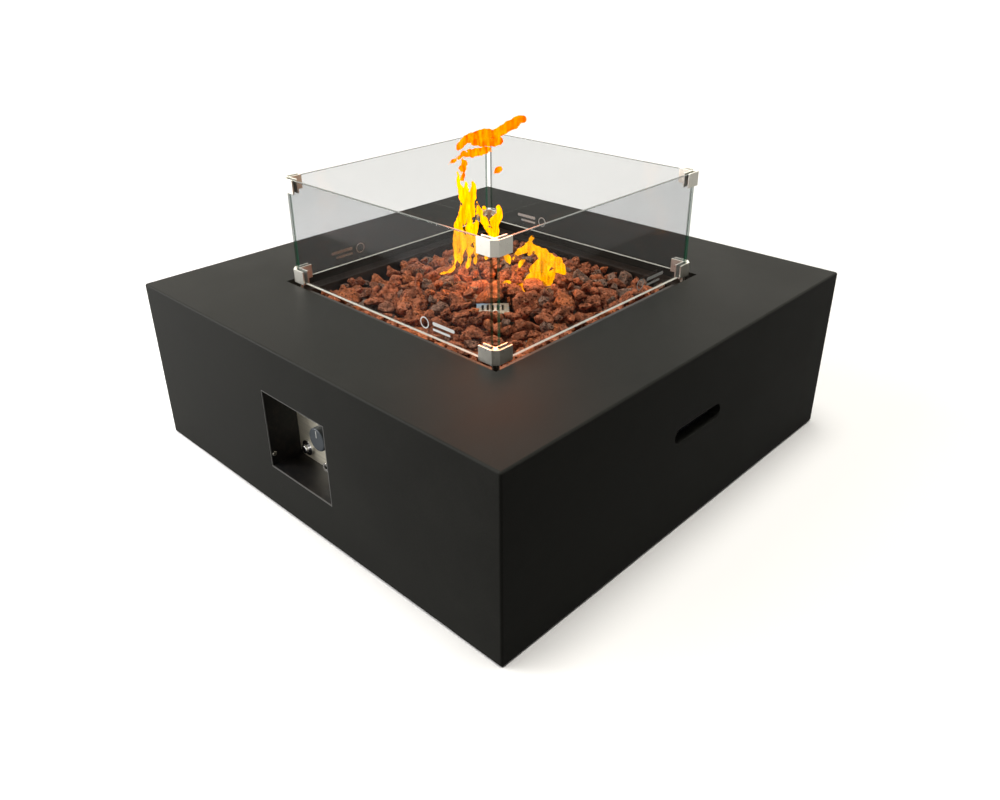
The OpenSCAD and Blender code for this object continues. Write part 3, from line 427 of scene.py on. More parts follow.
def heat_tinted_steel(name, colour):
    """Stainless steel that a flame has heated: straw and blue oxide bands over the satin."""
    material, tree, place = new_material(name)
    heat = add(tree, "TexNoise", {"Vector": place, "Scale": per(26), "Detail": 3, "Roughness": 0.6})
    tone = add(tree, "ValToRGB", (add(tree, "MapRange", (heat, 0.3, 0.7)),))
    stops = tone.color_ramp.elements
    stops[0].color, stops[1].color = rgba(colour), rgba(linear("#9DBBD6"))
    stops.new(0.45).color = rgba(linear("#C8BCA4"))
    bumps = relief(tree, place, 1.5, 0.03, 0.3)
    return surfaced(material, tree, tone, 0.42, bumps, Metallic=1.0)


def moulded_plastic(name, colour, rough=0.4):
    """Moulded engineering plastic: satin, with a spark-eroded grain drawn coarse enough to show."""
    material, tree, place = new_material(name)
    wear = patches(tree, place, 12, 4, 0.55, (0.45, 0.8), (0, 0.3))
    tone = add(tree, "Mix", {0: wear, 6: colour, 7: shades(colour, 1.5)[0]}, data_type="RGBA")
    bumps = relief(tree, place, 0.6, 0.03, 0.4)
    rough = add(tree, "MapRange", (wear, 0, 0.3, rough, rough + 0.12))
    return surfaced(material, tree, tone, rough, bumps, IOR=1.46, Specular_IOR_Level=0.5)


def glazed_porcelain(name):
    """Glazed alumina porcelain: white, glossy and a little uneven."""
    material, tree, place = new_material(name)
    dirt = patches(tree, place, 8, 4, 0.55, (0.5, 0.8), (0, 0.4))
    tone = add(tree, "Mix", {0: dirt, 6: linear("#EFEDE4"), 7: linear("#A89C88")}, data_type="RGBA")
    bumps = relief(tree, place, 3, 0.04, 0.3)
    return surfaced(material, tree, tone, 0.15, bumps, IOR=1.54)


def tempered_glass(s):
    """Tempered float glass: light goes straight through, and it mirrors more towards a grazing view."""
    material, tree, place = new_material("tempered_glass")
    facing = add(tree, "LayerWeight", {"Blend": 0.5}).outputs["Facing"]
    mirror = add(tree, "Math", (facing, 5.0), operation="POWER")
    mirror = add(tree, "MapRange", (mirror, 0, 1, 0.012, 0.6))
    smear = patches(tree, place, 60, 5, 0.7, (0.5, 0.8), (0, 0.012))
    clear = add(tree, "BsdfTransparent", {"Color": s.tint})
    gloss = add(tree, "BsdfGlossy", {"Color": linear("#FFFFFF"), "Roughness": 0.03})
    film = add(tree, "BsdfDiffuse", {"Color": linear("#E8E6E0")})
    pane = add(tree, "MixShader", (mirror, clear, gloss))
    add(tree, "OutputMaterial", {"Surface": add(tree, "MixShader", (smear, pane, film))})
    return material


def glass_edge(name, colour, rough, solid=1.0):
    """Ground and polished edge of a pane: the long way through the glass gives it its colour.

    A part of the light goes straight through when "solid" is below one. The lower edge's pale colour is a
    painted highlight.
    """
    material, tree, place = new_material(name)
    run = add(tree, "Mapping", {"Vector": place, "Scale": (per(4), per(4), per(4))})
    run = add(tree, "TexNoise", {"Vector": run, "Scale": per(1000), "Detail": 3, "Roughness": 0.55})
    run = add(tree, "MapRange", (run, 0.35, 0.75, 0, 0.5))
    tone = add(tree, "Mix", {0: run, 6: colour, 7: shades(colour, 0.5)[0]}, data_type="RGBA")
    bumps = relief(tree, place, 1, 0.02, 0.3)
    return surfaced(material, tree, tone, rough, bumps, IOR=1.5, Alpha=solid, Specular_IOR_Level=0.12)


def etched_frost(name):
    """Acid-etched glass: white and matt, with a faint mottle."""
    material, tree, place = new_material(name)
    frost = patches(tree, place, 0.8, 3, 0.55, (0.3, 0.7))
    tone = add(tree, "Mix", {0: frost, 6: linear("#D9DAD8"), 7: linear("#F4F4F2")}, data_type="RGBA")
    return surfaced(material, tree, tone, 0.8, IOR=1.5, Specular_IOR_Level=0.3)


# ---------------------------------------------------------------- lava rock

# Bumps of a stone, broad to fine: how high, how many waves, and waves per radius.
BUMPS = ((0.45, 6, 1.8), (0.42, 9, 4.2), (0.28, 14, 9))
# How far a stone and a crumb may stand above the wanted surface, and the most of each.
STONE_SLACK, MOST_STONES = 5 * MM, 900
CRUMB_SLACK, MOST_CRUMBS = 4 * MM, 400
# Places tried for each stone, and stones in a row that don't fit before the pan counts as full.
PLACES, MISSES = 40, 30
# How far a stone sinks among the others, as a part of its height radius.
SINK = 0.14
# A stone this far under the surface everywhere is buried and left out.
BURIED = 10 * MM
# A height that no stone can be wanted at, which keeps them off.
BLOCKED = 10.0
PILOT_GAP = 4 * MM
STONES_PER_MESH = 150


def ripple(rng, points, waves, frequency):
    """Smooth bumps: the mean of sine waves that run in random directions."""
    ways = rng.normal(size=(waves, 3)) * frequency
    return np.sin(points @ ways.T + rng.uniform(0, 2 * math.pi, waves)).mean(axis=1)


def stone_shape(rng, points):
    """One lump of unit radius: chipped sides, broad bumps and burst bubbles, and how deep each pit is."""
    shape = points.copy()
    for _ in range(rng.integers(7, 12)):
        side = rng.normal(size=3)
        side /= np.linalg.norm(side)
        over = np.clip(shape @ side - rng.uniform(0.45, 0.8), 0, None)
        shape -= np.outer(over, side)
    grow = np.full(len(points), 1.24)
    for height, waves, frequency in BUMPS:
        grow += height * ripple(rng, points, waves, frequency)
    bubbles = rng.normal(size=(rng.integers(24, 44), 3))
    bubbles /= np.linalg.norm(bubbles, axis=1)[:, None]
    radius = rng.uniform(0.12, 0.34, len(bubbles))
    bowl = np.clip(1 - 2 * (1 - points @ bubbles.T) / radius ** 2, 0, 1)
    deep = bowl * radius * 0.7
    pit = np.clip(bowl, 0, 1).max(axis=1)
    grow -= deep.max(axis=1)
    return shape * grow[:, None], pit


def round_points(level):
    """The points and triangles of a round ball of unit radius."""
    ball = bmesh.new()
    bmesh.ops.create_icosphere(ball, subdivisions=level, radius=1.0)
    points = np.array([v.co for v in ball.verts])
    faces = np.array([[v.index for v in f.verts] for f in ball.faces])
    ball.free()
    return points, faces


def turn_matrix(rng, tilt):
    """A random turn about Z after a tilt of at most this angle."""
    turn = Matrix.Rotation(rng.uniform(0, 2 * math.pi), 3, "Z")
    lean_x = Matrix.Rotation(rng.uniform(-tilt, tilt), 3, "X")
    lean_y = Matrix.Rotation(rng.uniform(-tilt, tilt), 3, "Y")
    return np.array(turn @ (lean_x @ lean_y))


class RockBed:
    """A height map of the pan that stones are dropped on, one at a time."""

    cell = 3 * MM

    def __init__(self, s):
        pan_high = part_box("burner_pan")[1]
        rock_low, rock_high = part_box("lava_rock_bed")
        self.half = min(rock_high.x, -rock_low.x)
        self.n = int(2 * self.half / self.cell)
        self.at = (np.arange(self.n) + 0.5) * self.cell - self.half
        x, y = np.meshgrid(self.at, self.at, indexing="ij")
        away = np.hypot(x, y)
        self.height = np.full((self.n, self.n), rock_low.z)
        burner_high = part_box("burner")[1]
        self.height[away < burner_high.x] = burner_high.z
        swell = np.cos(np.minimum(1, away / self.half) * math.pi / 2)
        self.wanted = pan_high.z - s.edge_depth + s.crown * swell
        self.block_pilot(x, y)

    def block_pilot(self, x, y):
        """No stone lands on the pilot guard, which stands turned by an eighth of a turn."""
        corners = np.array([v.co[:2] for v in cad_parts["pilot_guard"].data.vertices])
        along, out = np.array([1, 1]) / math.sqrt(2), np.array([1, -1]) / math.sqrt(2)
        blocked = np.ones_like(x, bool)
        for way in (along, out):
            reach = corners @ way
            place = x * way[0] + y * way[1]
            blocked &= (place > reach.min() - PILOT_GAP) & (place < reach.max() + PILOT_GAP)
        self.height[blocked] = BLOCKED

    def footprint(self, x, y, size):
        """The cells under a stone and the height of its lower face in each."""
        a, b, c = size
        reach = max(a, b)
        i0, i1 = np.searchsorted(self.at, (x - reach, x + reach))
        k0, k1 = np.searchsorted(self.at, (y - reach, y + reach))
        away = ((self.at[i0:i1, None] - x) / reach) ** 2 + ((self.at[None, k0:k1] - y) / reach) ** 2
        return (slice(i0, i1), slice(k0, k1)), c * np.sqrt(np.clip(1 - away, 0, 1)), away < 1

    def drop(self, rng, size, tries):
        """The place, among some random ones, where a stone of this size lies lowest under the surface."""
        best = None
        for x, y in rng.uniform(-self.half + max(size[:2]), self.half - max(size[:2]), (tries, 2)):
            cells, bulge, under = self.footprint(x, y, size)
            rest = (self.height[cells] + bulge)[under].max()
            over = rest + size[2] - self.wanted[cells][under].mean()
            if best is None or over < best[0]:
                best = (over, x, y, rest, cells, bulge, under)
        over, x, y, rest, cells, bulge, under = best
        return over, (x, y, rest), cells, bulge, under

    def settle(self, place, cells, bulge, under):
        top = place[2] + bulge
        self.height[cells] = np.where(under, np.maximum(self.height[cells], top), self.height[cells])


def fill_pan(rng, s):
    """Drops stones until the pan is full, then crumbs into the gaps.

    The list holds the place and radii of each stone that isn't buried under others.
    """
    bed = RockBed(s)
    stones = []
    rounds = ((s.small, s.large, STONE_SLACK, MOST_STONES), (s.crumb, s.small, CRUMB_SLACK, MOST_CRUMBS))
    for width_low, width_high, slack, limit in rounds:
        misses = 0
        while misses < MISSES and limit:
            limit -= 1
            width = rng.uniform(width_low, width_high)
            size = width / 2 * rng.uniform([1.0, 0.85, 0.66], [1.2, 1.0, 0.9])
            over, place, cells, bulge, under = bed.drop(rng, size, PLACES)
            if over > slack:
                misses += 1
                continue
            misses = 0
            sunk = (place[0], place[1], place[2] - SINK * size[2])
            bed.settle(sunk, cells, bulge, under)
            stones.append((sunk, size, cells, bulge, under))
    return [(place, size) for place, size, cells, bulge, under in stones
            if (bed.height[cells] - place[2] - bulge)[under].min() < BURIED]


def lava_stones(s):
    """The stones in a few meshes, with the tone of each and its pits as attributes."""
    rng = np.random.default_rng(s.seed)
    ball, triangles = round_points(3)
    stones, material = fill_pan(rng, s), scoria(s)
    pieces = []
    for first in range(0, len(stones), STONES_PER_MESH):
        points, faces, tones, pits = [], [], [], []
        for place, size in stones[first:first + STONES_PER_MESH]:
            shape, pit = stone_shape(rng, ball)
            shape = (shape * size) @ turn_matrix(rng, 0.5).T
            faces.append(triangles + len(ball) * len(points))
            points.append(shape + np.array(place))
            tones.append(np.full(len(ball), rng.uniform()))
            pits.append(pit)
        name = f"lava_stones_{len(pieces) + 1}"
        piece = new_piece(name, np.concatenate(points), np.concatenate(faces), material)
        for name, values in (("tone", tones), ("pit", pits)):
            layer = piece.data.attributes.new(name, "FLOAT", "POINT")
            layer.data.foreach_set("value", np.concatenate(values).astype(np.float32))
        pieces.append(piece)
    return pieces


# ---------------------------------------------------------------- glass

def pane_faces(name, materials, arris):
    """Gives a pane its clear faces and its coloured edges, and grinds off its arrises."""
    pane = finish_part(name, materials["face"], arris / MM, 2)
    mesh = pane.data
    for key in ("end", "top", "foot"):
        mesh.materials.append(materials[key])
    low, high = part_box(name)
    thin = 0 if high.x - low.x < high.y - low.y else 1
    for face in mesh.polygons:
        normal = face.normal
        if abs(normal[thin]) > 0.5:
            face.material_index = 0
        elif normal.z > 0.5:
            face.material_index = 2
        elif normal.z < -0.5:
            face.material_index = 3
        else:
            face.material_index = 1
    return pane


def bar_outline(x0, x1, z, thick, steps=8):
    """A bar with round ends, as points in its own plane."""
    r = thick / 2
    points = []
    for centre, a0 in ((x1 - r, -90), (x0 + r, 90)):
        for i in range(steps + 1):
            a = math.radians(a0 + 180 * i / steps)
            points.append((centre + r * math.cos(a), z + r * math.sin(a)))
    return points


def etched_mark(side, turn, material, s):
    """A plain ring and two plain bars, etched on the outer face of one pane."""
    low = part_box("glass_front")[0]
    face_y = low.y - 0.05 * MM
    z = low.z + s.mark_up
    x = s.mark_side
    mark = bmesh.new()
    ring_n = 48
    rings = [[mark.verts.new((x + r * math.cos(2 * math.pi * i / ring_n), face_y,
                              z + r * math.sin(2 * math.pi * i / ring_n))) for i in range(ring_n)]
             for r in (s.ring, s.ring - 2 * MM)]
    for i in range(ring_n):
        j = (i + 1) % ring_n
        mark.faces.new((rings[0][i], rings[0][j], rings[1][j], rings[1][i]))
    for up, length, thick in ((4, 50, 6), (-6, 40, 4)):
        start = x + s.ring + 9 * MM
        outline = bar_outline(start, start + length * MM, z + up * MM, thick * MM)
        mark.faces.new([mark.verts.new((px, face_y, pz)) for px, pz in outline])
    mesh = bpy.data.meshes.new("etched_mark_" + side)
    mark.to_mesh(mesh)
    mark.free()
    mesh.transform(Matrix.Rotation(turn, 4, "Z"))
    mesh.materials.append(material)
    piece = linked(mesh.name, mesh)
    thick = piece.modifiers.new("etch", "SOLIDIFY")
    thick.thickness = 0.1 * MM
    thick.offset = 0.0
    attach(piece, GUARD)
    return piece


# ---------------------------------------------------------------- stage

def flame_gas(name, colour, veil, density):
    """Burning gas: it glows in upright streaks and dims what is behind it, blue light most."""
    material, tree, place = new_material(name)
    rising = add(tree, "Mapping", {"Vector": place, "Scale": (per(7), per(7), per(40))})
    streaks = add(tree, "TexNoise", {"Vector": rising, "Scale": per(1000), "Detail": 2, "Roughness": 0.6,
                                     "Distortion": 1.0})
    power = add(tree, "MapRange", (streaks, 0.42, 0.6, 40, 240))
    glow = add(tree, "Emission", {"Color": colour, "Strength": power})
    smoke = add(tree, "VolumeAbsorption", {"Color": veil, "Density": density})
    add(tree, "OutputMaterial", {"Volume": add(tree, "AddShader", (glow, smoke))})
    return material


def tongue(name, spine, material, rng, licks, flat=0.4, around=20):
    """One closed tongue of flame. Its spine holds (across, up, half width) in mm, in the flames' plane."""
    spine = np.array(spine, float)
    steps = np.linspace(0, len(spine) - 1, 8 * (len(spine) - 1) + 1)
    path = np.column_stack([np.interp(steps, range(len(spine)), spine[:, k]) for k in range(3)])
    for _ in range(4):
        path[1:-1] = (path[:-2] + 2 * path[1:-1] + path[2:]) / 4
    path[0, 2] = path[-1, 2] = 0.2
    ways = np.gradient(path[:, :2], axis=0)
    ways /= np.linalg.norm(ways, axis=1)[:, None]
    lean = np.sin(np.linspace(0, rng.uniform(2, 5), len(path)) + rng.uniform(0, 6)) * 6
    points, faces = [], []
    wave = rng.uniform(0, 6, 3)
    for i, (across, up, half) in enumerate(path):
        side = np.array([ways[i, 1], -ways[i, 0]])
        for k in range(around):
            a = 2 * math.pi * k / around
            broad = 0.18 * math.sin(3 * a + wave[0] + i * 0.35)
            r = half * (1 + broad + 0.1 * math.sin(7 * a - i * 0.6 + wave[1]))
            s, z = np.array([across, up]) + side * r * math.cos(a)
            depth = lean[i] + r * flat * math.sin(a)
            points.append(((s + depth) / math.sqrt(2) * MM, (s - depth) / math.sqrt(2) * MM, z * MM))
    for i in range(len(path) - 1):
        for k in range(around):
            j = (k + 1) % around
            faces.append((i * around + k, i * around + j, (i + 1) * around + j, (i + 1) * around + k))
    faces.append(tuple(range(around))[::-1])
    faces.append(tuple((len(path) - 1) * around + k for k in range(around)))
    piece = new_piece(name, points, faces, material)
    smooth = piece.modifiers.new("smooth", "SUBSURF")
    smooth.levels = smooth.render_levels = 1
    lick = piece.modifiers.new("lick", "DISPLACE")
    lick.texture, lick.texture_coords = licks, "GLOBAL"
    lick.strength, lick.mid_level = 11 * MM, 0.5
    piece.visible_shadow = piece.visible_diffuse = False
    return piece


FLAME_SEED = 3
CAMERA_AIM = (-0.1732, 0.1581, 0.0)
CAMERA_SHIFT = (0.013, -0.0273)

# Tongues of flame: across, height and half width in mm along each one's length.
TIP_FLAMES = (
    ((-74, 533, 1), (-56, 546, 4), (-40, 552, 6), (-18, 554, 7), (-2, 556, 5), (4, 552, 1)),
    ((-58, 556, 1), (-52, 566, 5), (-36, 576, 8), (-14, 580, 9), (10, 584, 8), (30, 594, 8), (52, 606, 6),
     (60, 608, 3)),
    ((-34, 566, 2), (-10, 570, 7), (8, 570, 8), (22, 572, 3)),
    ((4, 516, 1), (12, 520, 4), (20, 523, 2)),
    ((-52, 500, 3), (-48, 520, 6), (-46, 534, 6), (-50, 545, 2)),
)
TALL_FLAMES = (
    ((-96, 330, 1), (-80, 332, 2), (-70, 340, 4), (-66, 372, 7), (-62, 405, 8), (-54, 440, 6),
     (-50, 470, 6), (-56, 500, 4), (-58, 520, 1)),
    ((-58, 345, 2), (-54, 380, 5), (-52, 420, 6), (-46, 450, 6), (-42, 480, 6), (-44, 500, 2)),
    ((-46, 340, 3), (-40, 370, 6), (-40, 400, 7), (-38, 430, 6), (-33, 455, 6), (-30, 484, 6),
     (-32, 500, 2)),
    ((-30, 345, 2), (-28, 370, 5), (-32, 395, 5), (-28, 420, 4), (-24, 450, 3)),
    ((-12, 352, 2), (-2, 374, 8), (8, 392, 9), (4, 412, 8), (8, 430, 8), (14, 444, 7), (13, 458, 3)),
    ((-26, 468, 1), (-20, 448, 5), (-12, 428, 5), (-2, 408, 6), (6, 388, 5)),
    ((-16, 446, 1), (-12, 450, 4), (-10, 444, 1)),
)
LOW_FLAMES = (
    ((34, 344, 1), (30, 356, 4), (24, 372, 4), (22, 380, 1)),
    ((40, 352, 2), (46, 366, 5), (60, 374, 6), (70, 386, 6), (74, 398, 5), (76, 404, 2)),
    ((70, 360, 2), (74, 376, 8), (86, 372, 8), (102, 362, 9), (116, 350, 11), (128, 336, 9), (138, 322, 3)),
    ((52, 262, 1), (62, 284, 7), (68, 306, 11), (78, 326, 12), (88, 344, 11), (98, 356, 5)),
    ((76, 300, 3), (86, 318, 11), (96, 334, 11), (104, 346, 8), (110, 352, 2)),
    ((92, 300, 2), (104, 312, 8), (112, 324, 7), (116, 336, 2)),
    ((12, 302, 1), (26, 310, 4), (40, 312, 5), (52, 306, 4), (62, 300, 1)),
    ((96, 288, 1), (110, 292, 3), (120, 300, 2), (122, 304, 1)),
    ((44, 332, 1), (52, 342, 4), (58, 350, 3), (60, 356, 1)),
    ((38, 286, 1), (52, 292, 3), (64, 298, 3), (70, 306, 1)),
)


class PIT_OT_concrete(bpy.types.Operator):
    """Finishes the concrete table and its rubber feet"""
    bl_idname = "pit.concrete"
    bl_label = "Concrete table"

    def execute(self, context):
        s = context.scene.pit_concrete
        finish_part("concrete_shell", cast_concrete(s), s.edge / MM, 3)
        finish_part("foot_pads", moulded_rubber(s), 0.8)
        return {"FINISHED"}


class PIT_OT_pan(bpy.types.Operator):
    """Finishes the burner pan and the control box"""
    bl_idname = "pit.pan"
    bl_label = "Pan and control box"

    def execute(self, context):
        s = context.scene.pit_metal
        finish_part("burner_pan", powder_coated_steel("powder_coat_pan", s.powder, 0.7), 0.5)
        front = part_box("control_box")[0]
        # The box's darker coat holds painted shade of its recess.
        finish_part("control_box", powder_coated_steel("shaded_powder_coat_box", s.box, 0.15, front), 0.5)
        return {"FINISHED"}


class PIT_OT_rock(bpy.types.Operator):
    """Fills the pan with lava rock"""
    bl_idname = "pit.rock"
    bl_label = "Lava rock"

    def execute(self, context):
        for piece in lava_stones(context.scene.pit_rock):
            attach(piece, TABLE)
            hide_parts("lava_rock_bed")
        return {"FINISHED"}


class PIT_OT_burner(bpy.types.Operator):
    """Finishes the burner, its brackets, its air mixer and its hose"""
    bl_idname = "pit.burner"
    bl_label = "Burner"

    def execute(self, context):
        s = context.scene.pit_metal
        finish_parts(("burner", "burner_brackets", "air_mixer"),
                     heat_tinted_steel("burner_steel", s.stainless))
        finish_parts(("bracket_screws",), satin_metal("screw_steel", s.clip, 0.25, 0.2))
        finish_parts(("burner_locknut", "orifice", "hose_nuts"),
                     satin_metal("turned_brass", s.brass, 0.3, 0.35))
        finish_part("burner_hose", brushed_steel("hose_steel", s.stainless, 2.0, 0.35), 0)
        return {"FINISHED"}


class PIT_OT_pilot(bpy.types.Operator):
    """Finishes the pilot, its guard and the lines that feed it"""
    bl_idname = "pit.pilot"
    bl_label = "Pilot"

    def execute(self, context):
        s = context.scene.pit_metal
        finish_part("pilot_guard", heat_tinted_steel("guard_steel", s.clip), 0.3)
        finish_parts(("pilot_bracket", "line_clip"),
                     satin_metal("bracket_steel", s.stainless, 0.35, 0.4), 0.2)
        finish_parts(("pilot_hood", "thermocouple"), satin_metal("pilot_brass", s.brass, 0.4, 0.6), 0.2)
        finish_part("spark_electrode", glazed_porcelain("glazed_porcelain"), 0.2)
        finish_part("pilot_tube", satin_metal("drawn_aluminium", s.aluminium, 0.3, 0.2), 0)
        finish_part("thermocouple_lead", satin_metal("drawn_copper", s.copper, 0.35, 0.4), 0)
        finish_part("ignition_lead", moulded_plastic("silicone_sleeve", s.lead, 0.55), 0)
        return {"FINISHED"}


class PIT_OT_controls(bpy.types.Operator):
    """Finishes the control panel, the knob and the valve"""
    bl_idname = "pit.controls"
    bl_label = "Controls"

    def execute(self, context):
        s = context.scene.pit_metal
        finish_part("control_panel", brushed_steel("brushed_panel", s.panel, s.brush / MM, 0.5), 0.3)
        finish_parts(("panel_screws", "box_screws"), satin_metal("bright_screw", s.clip, 0.18, 0.1), 0.4)
        finish_parts(("gas_valve", "valve_plunger"), satin_metal("valve_brass", s.brass, 0.32, 0.3), 0.6)
        finish_parts(("valve_nut", "inlet_nut", "inlet_fitting"),
                     satin_metal("plated_steel", s.stainless, 0.25, 0.25))
        finish_part("inlet_pipe", satin_metal("inlet_tube", s.aluminium, 0.3, 0.2), 0)
        finish_parts(("valve_stem", "valve_spring", "igniter_spring"),
                     satin_metal("spring_steel", s.stainless, 0.3, 0.3), 0.2)
        finish_part("control_knob", moulded_plastic("knob_plastic", s.knob, 0.42), 0.5)
        finish_part("knob_pointer", moulded_plastic("pointer_paint", linear("#D8D8D4"), 0.5), 0)
        return {"FINISHED"}


class PIT_OT_igniter(bpy.types.Operator):
    """Finishes the igniter and its battery"""
    bl_idname = "pit.igniter"
    bl_label = "Igniter"

    def execute(self, context):
        s = context.scene.pit_metal
        finish_part("igniter_body", moulded_plastic("black_plastic", linear("#1F1F1F"), 0.4), 0.5)
        finish_parts(("igniter_bezel", "igniter_button"),
                     satin_metal("chromed_zinc", s.chrome, 0.08, 0.1), 0.4)
        finish_part("battery", moulded_plastic("battery_sleeve", linear("#3F5A78"), 0.3), 0.5)
        return {"FINISHED"}


class PIT_OT_glass(bpy.types.Operator):
    """Finishes the four panes and etches a plain mark in each"""
    bl_idname = "pit.glass"
    bl_label = "Glass panes"

    def execute(self, context):
        s = context.scene.pit_glass
        materials = {
            "face": tempered_glass(s), "end": glass_edge("glass_end", s.end, 0.12, 0.65),
            # The lower edge's pale colour is a painted highlight.
            "top": glass_edge("glass_top_edge", s.top, 0.2), "foot": glass_edge("glass_foot_painted_highlight", s.foot, 0.35),
        }
        frost = etched_frost("etched_frost")
        for i, side in enumerate(SIDES):
            pane_faces("glass_" + side, materials, s.arris)
            etched_mark(side, i * math.pi / 2, frost, s)
        return {"FINISHED"}


class PIT_OT_clips(bpy.types.Operator):
    """Finishes the clips, their pads, screws and posts"""
    bl_idname = "pit.clips"
    bl_label = "Clips"

    def execute(self, context):
        s = context.scene.pit_metal
        clips = [f"{level}_clip_{corner}" for level in ("lower", "upper") for corner in CORNERS]
        finish_parts(clips, satin_metal("satin_clip", s.clip, 0.34, 0.08), 0.9)
        finish_parts(("clip_screws", "clip_posts"), satin_metal("clip_steel", s.clip, 0.22, 0.15), 0.5)
        finish_part("clip_pads", moulded_plastic("clear_pad", linear("#CFCFCB"), 0.35), 0)
        return {"FINISHED"}


class PIT_OT_stage(bpy.types.Operator):
    """Adds the floor, the studio light, the flames and the camera"""
    bl_idname = "pit.stage"
    bl_label = "Stage"

    def execute(self, context):
        s = context.scene.pit_stage
        add_floor(s)
        add_lights(s)
        add_flames(s)
        add_camera(s)
        context.scene.view_settings.view_transform = "Standard"
        return {"FINISHED"}


def add_floor(s):
    """A wide pale floor, dimmed where a glossy surface mirrors it."""
    half = s.floor_size / 2
    material, tree, place = new_material("studio_floor")
    mottle = add(tree, "TexNoise", {"Vector": place, "Scale": per(3000), "Detail": 2, "Roughness": 0.55})
    worn, dim = shades(s.floor, 0.98, 0.68 * s.mirrored)
    pale = add(tree, "Mix", {0: mottle, 6: s.floor, 7: worn}, data_type="RGBA")
    glossy = add(tree, "LightPath").outputs["Is Glossy Ray"]
    tone = add(tree, "Mix", {0: glossy, 6: pale, 7: dim}, data_type="RGBA")
    surfaced(material, tree, tone, 0.8)
    corners = [(-half, -half, 0), (half, -half, 0), (half, half, 0), (-half, half, 0)]
    floor = new_piece("studio_floor", corners, [(0, 1, 2, 3)], material)
    floor.visible_diffuse = False


def add_lamp(name, kind, energy, colour, place, aim=None, **settings):
    """One lamp. A sun's or a spot's light runs from "place" to "aim"."""
    lamp = bpy.data.lights.new(name, kind)
    lamp.energy = energy
    lamp.color = colour
    for key, value in settings.items():
        setattr(lamp, key, value)
    made = linked(name, lamp)
    made.location = place
    if aim is not None:
        made.rotation_mode = "QUATERNION"
        made.rotation_quaternion = (Vector(aim) - Vector(place)).to_track_quat("-Z", "Y")
    return made


def add_lights(s):
    """A key light from the left of the controls, one overhead, a soft lamp by the controls and a sky.

    The sky is white to the eye. A glossy surface mirrors a bright band in it, low above the horizon.
    """
    add_lamp("key", "SUN", s.key, linear("#FFFCF6"), (-0.55, -0.65, 0.52), (0, 0, 0),
             angle=math.radians(40))
    add_lamp("overhead", "SUN", s.top, linear("#FFFCF5"), (0, 0, 1), (0, 0, 0), angle=math.radians(32))
    add_lamp("side", "AREA", s.side, linear("#FFFFFF"), (-1.2, -1.5, 0.7), (-0.2, -0.457, 0.2),
             shape="RECTANGLE", size=0.9, size_y=0.9)
    world = bpy.data.worlds.new("surround")
    world.use_nodes = True
    tree = world.node_tree
    tree.nodes.clear()
    way = add(tree, "TexCoord").outputs["Generated"]
    up = add(tree, "SeparateXYZ", (way,)).outputs["Z"]
    light = add(tree, "MapRange", (up, -0.06, 0.12, s.ground, s.fill))
    ray = add(tree, "LightPath").outputs
    band = 7 * s.mirrored
    over_band = add(tree, "MapRange", (up, 0.3, 0.55, band, 0.8 * s.mirrored))
    under_band = add(tree, "MapRange", (up, 0.05, 0.3, 0.2 * s.mirrored, band))
    sheen = add(tree, "Math", (over_band, under_band), operation="MINIMUM")
    mirrored = add(tree, "Math", (ray["Is Glossy Ray"], sheen), operation="MULTIPLY")
    strength = add(tree, "Math", (light, mirrored), operation="MAXIMUM")
    strength = add(tree, "Math", (strength, ray["Is Camera Ray"]), operation="MAXIMUM")
    shade = add(tree, "Mix", {0: ray["Is Camera Ray"], 6: s.sky, 7: linear("#FFFFFF")}, data_type="RGBA")
    back = add(tree, "Background", {"Color": shade, "Strength": strength})
    add(tree, "OutputWorld", {"Surface": back})
    bpy.context.scene.world = world


def add_flames(s):
    """The tongues of flame and the warm lamps that stand for their light."""
    rng = np.random.default_rng(FLAME_SEED)
    licks = bpy.data.textures.new("licks", "CLOUDS")
    licks.noise_scale = 16 * MM
    hot = flame_gas("yellow_flame", s.flame, linear("#DAD300"), 200.0)
    cool = flame_gas("orange_flame", s.tip, linear("#F3CB00"), 600.0)
    for i, spine in enumerate(TIP_FLAMES + TALL_FLAMES + LOW_FLAMES):
        tongue(f"flame_{i}", spine, cool if i < len(TIP_FLAMES) else hot, rng, licks)
    warm = linear("#FFB46A")
    for name, across, up in (("glow_tall", -45, 350), ("glow_middle", 0, 340), ("glow_low", 80, 330)):
        place = Vector((across, across, 0)) / math.sqrt(2) * MM
        place.z = up * MM
        add_lamp(name, "POINT", s.glow, warm, place, shadow_soft_size=0.05).visible_glossy = False
    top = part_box("concrete_shell")[1].z
    add_lamp("glow_corner", "SPOT", 15 * s.glow, linear("#FF8A4C"), (0, 0, top + 0.22), (0.36, -0.36, top),
             spot_size=math.radians(44), spot_blend=1.0, shadow_soft_size=0.1)


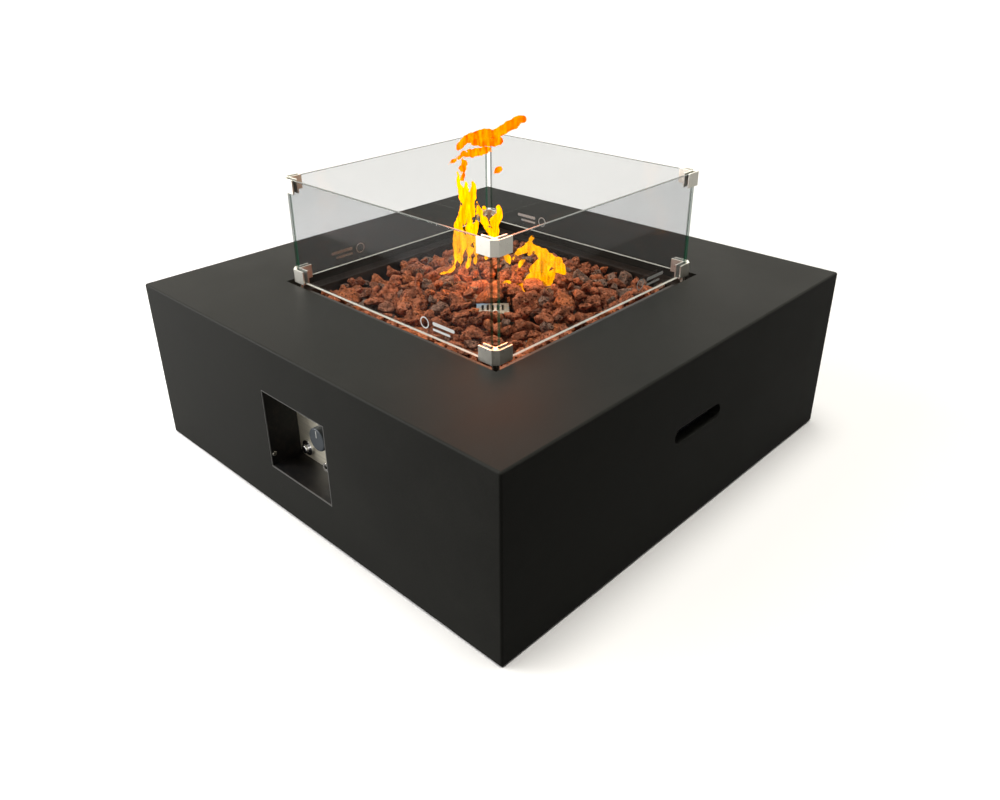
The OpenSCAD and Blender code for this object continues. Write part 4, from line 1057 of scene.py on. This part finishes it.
def add_camera(s):
    """The camera, turned round the table and raised by its two angles."""
    camera = bpy.data.cameras.new("camera")
    camera.sensor_width = 36
    camera.lens = s.lens
    camera.shift_x, camera.shift_y = CAMERA_SHIFT
    camera.clip_end = 500
    level = math.cos(s.elevation)
    back = Vector((math.sin(s.azimuth) * level, -math.cos(s.azimuth) * level, math.sin(s.elevation)))
    made = linked("camera", camera)
    made.rotation_mode = "QUATERNION"
    roll = Matrix.Rotation(s.roll, 3, "Z").to_quaternion()
    made.rotation_quaternion = (-back).to_track_quat("-Z", "Y") @ roll
    made.location = Vector(CAMERA_AIM) + back * s.distance
    bpy.context.scene.camera = made


OPERATORS = (
    PIT_OT_concrete, PIT_OT_pan, PIT_OT_rock, PIT_OT_burner, PIT_OT_pilot, PIT_OT_controls,
    PIT_OT_igniter, PIT_OT_glass, PIT_OT_clips, PIT_OT_stage,
)


class PIT_PT_panel(bpy.types.Panel):
    """The fire-pit table's settings and steps"""
    bl_label = "Fire-pit table"
    bl_idname = "PIT_PT_panel"
    bl_space_type = "VIEW_3D"
    bl_region_type = "UI"
    bl_category = "Fire pit"

    def draw(self, context):
        for operator in OPERATORS:
            self.layout.operator(operator.bl_idname)
        for key in SETTINGS:
            group = getattr(context.scene, key)
            box = self.layout.box()
            for prop in group.bl_rna.properties:
                if prop.identifier not in ("rna_type", "name"):
                    box.prop(group, prop.identifier)


def register():
    for made in (*SETTINGS.values(), *OPERATORS, PIT_PT_panel):
        bpy.utils.register_class(made)
    for key, group in SETTINGS.items():
        setattr(bpy.types.Scene, key, PointerProperty(type=group))


def unregister():
    for key in SETTINGS:
        delattr(bpy.types.Scene, key)
    for made in (PIT_PT_panel, *reversed(OPERATORS), *reversed(SETTINGS.values())):
        bpy.utils.unregister_class(made)


def main():
    """Registers the add-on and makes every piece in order."""
    register()
    bpy.ops.pit.concrete()
    bpy.ops.pit.pan()
    bpy.ops.pit.rock()
    bpy.ops.pit.burner()
    bpy.ops.pit.pilot()
    bpy.ops.pit.controls()
    bpy.ops.pit.igniter()
    bpy.ops.pit.glass()
    bpy.ops.pit.clips()
    bpy.ops.pit.stage()


if __name__ == "__main__":
    main()
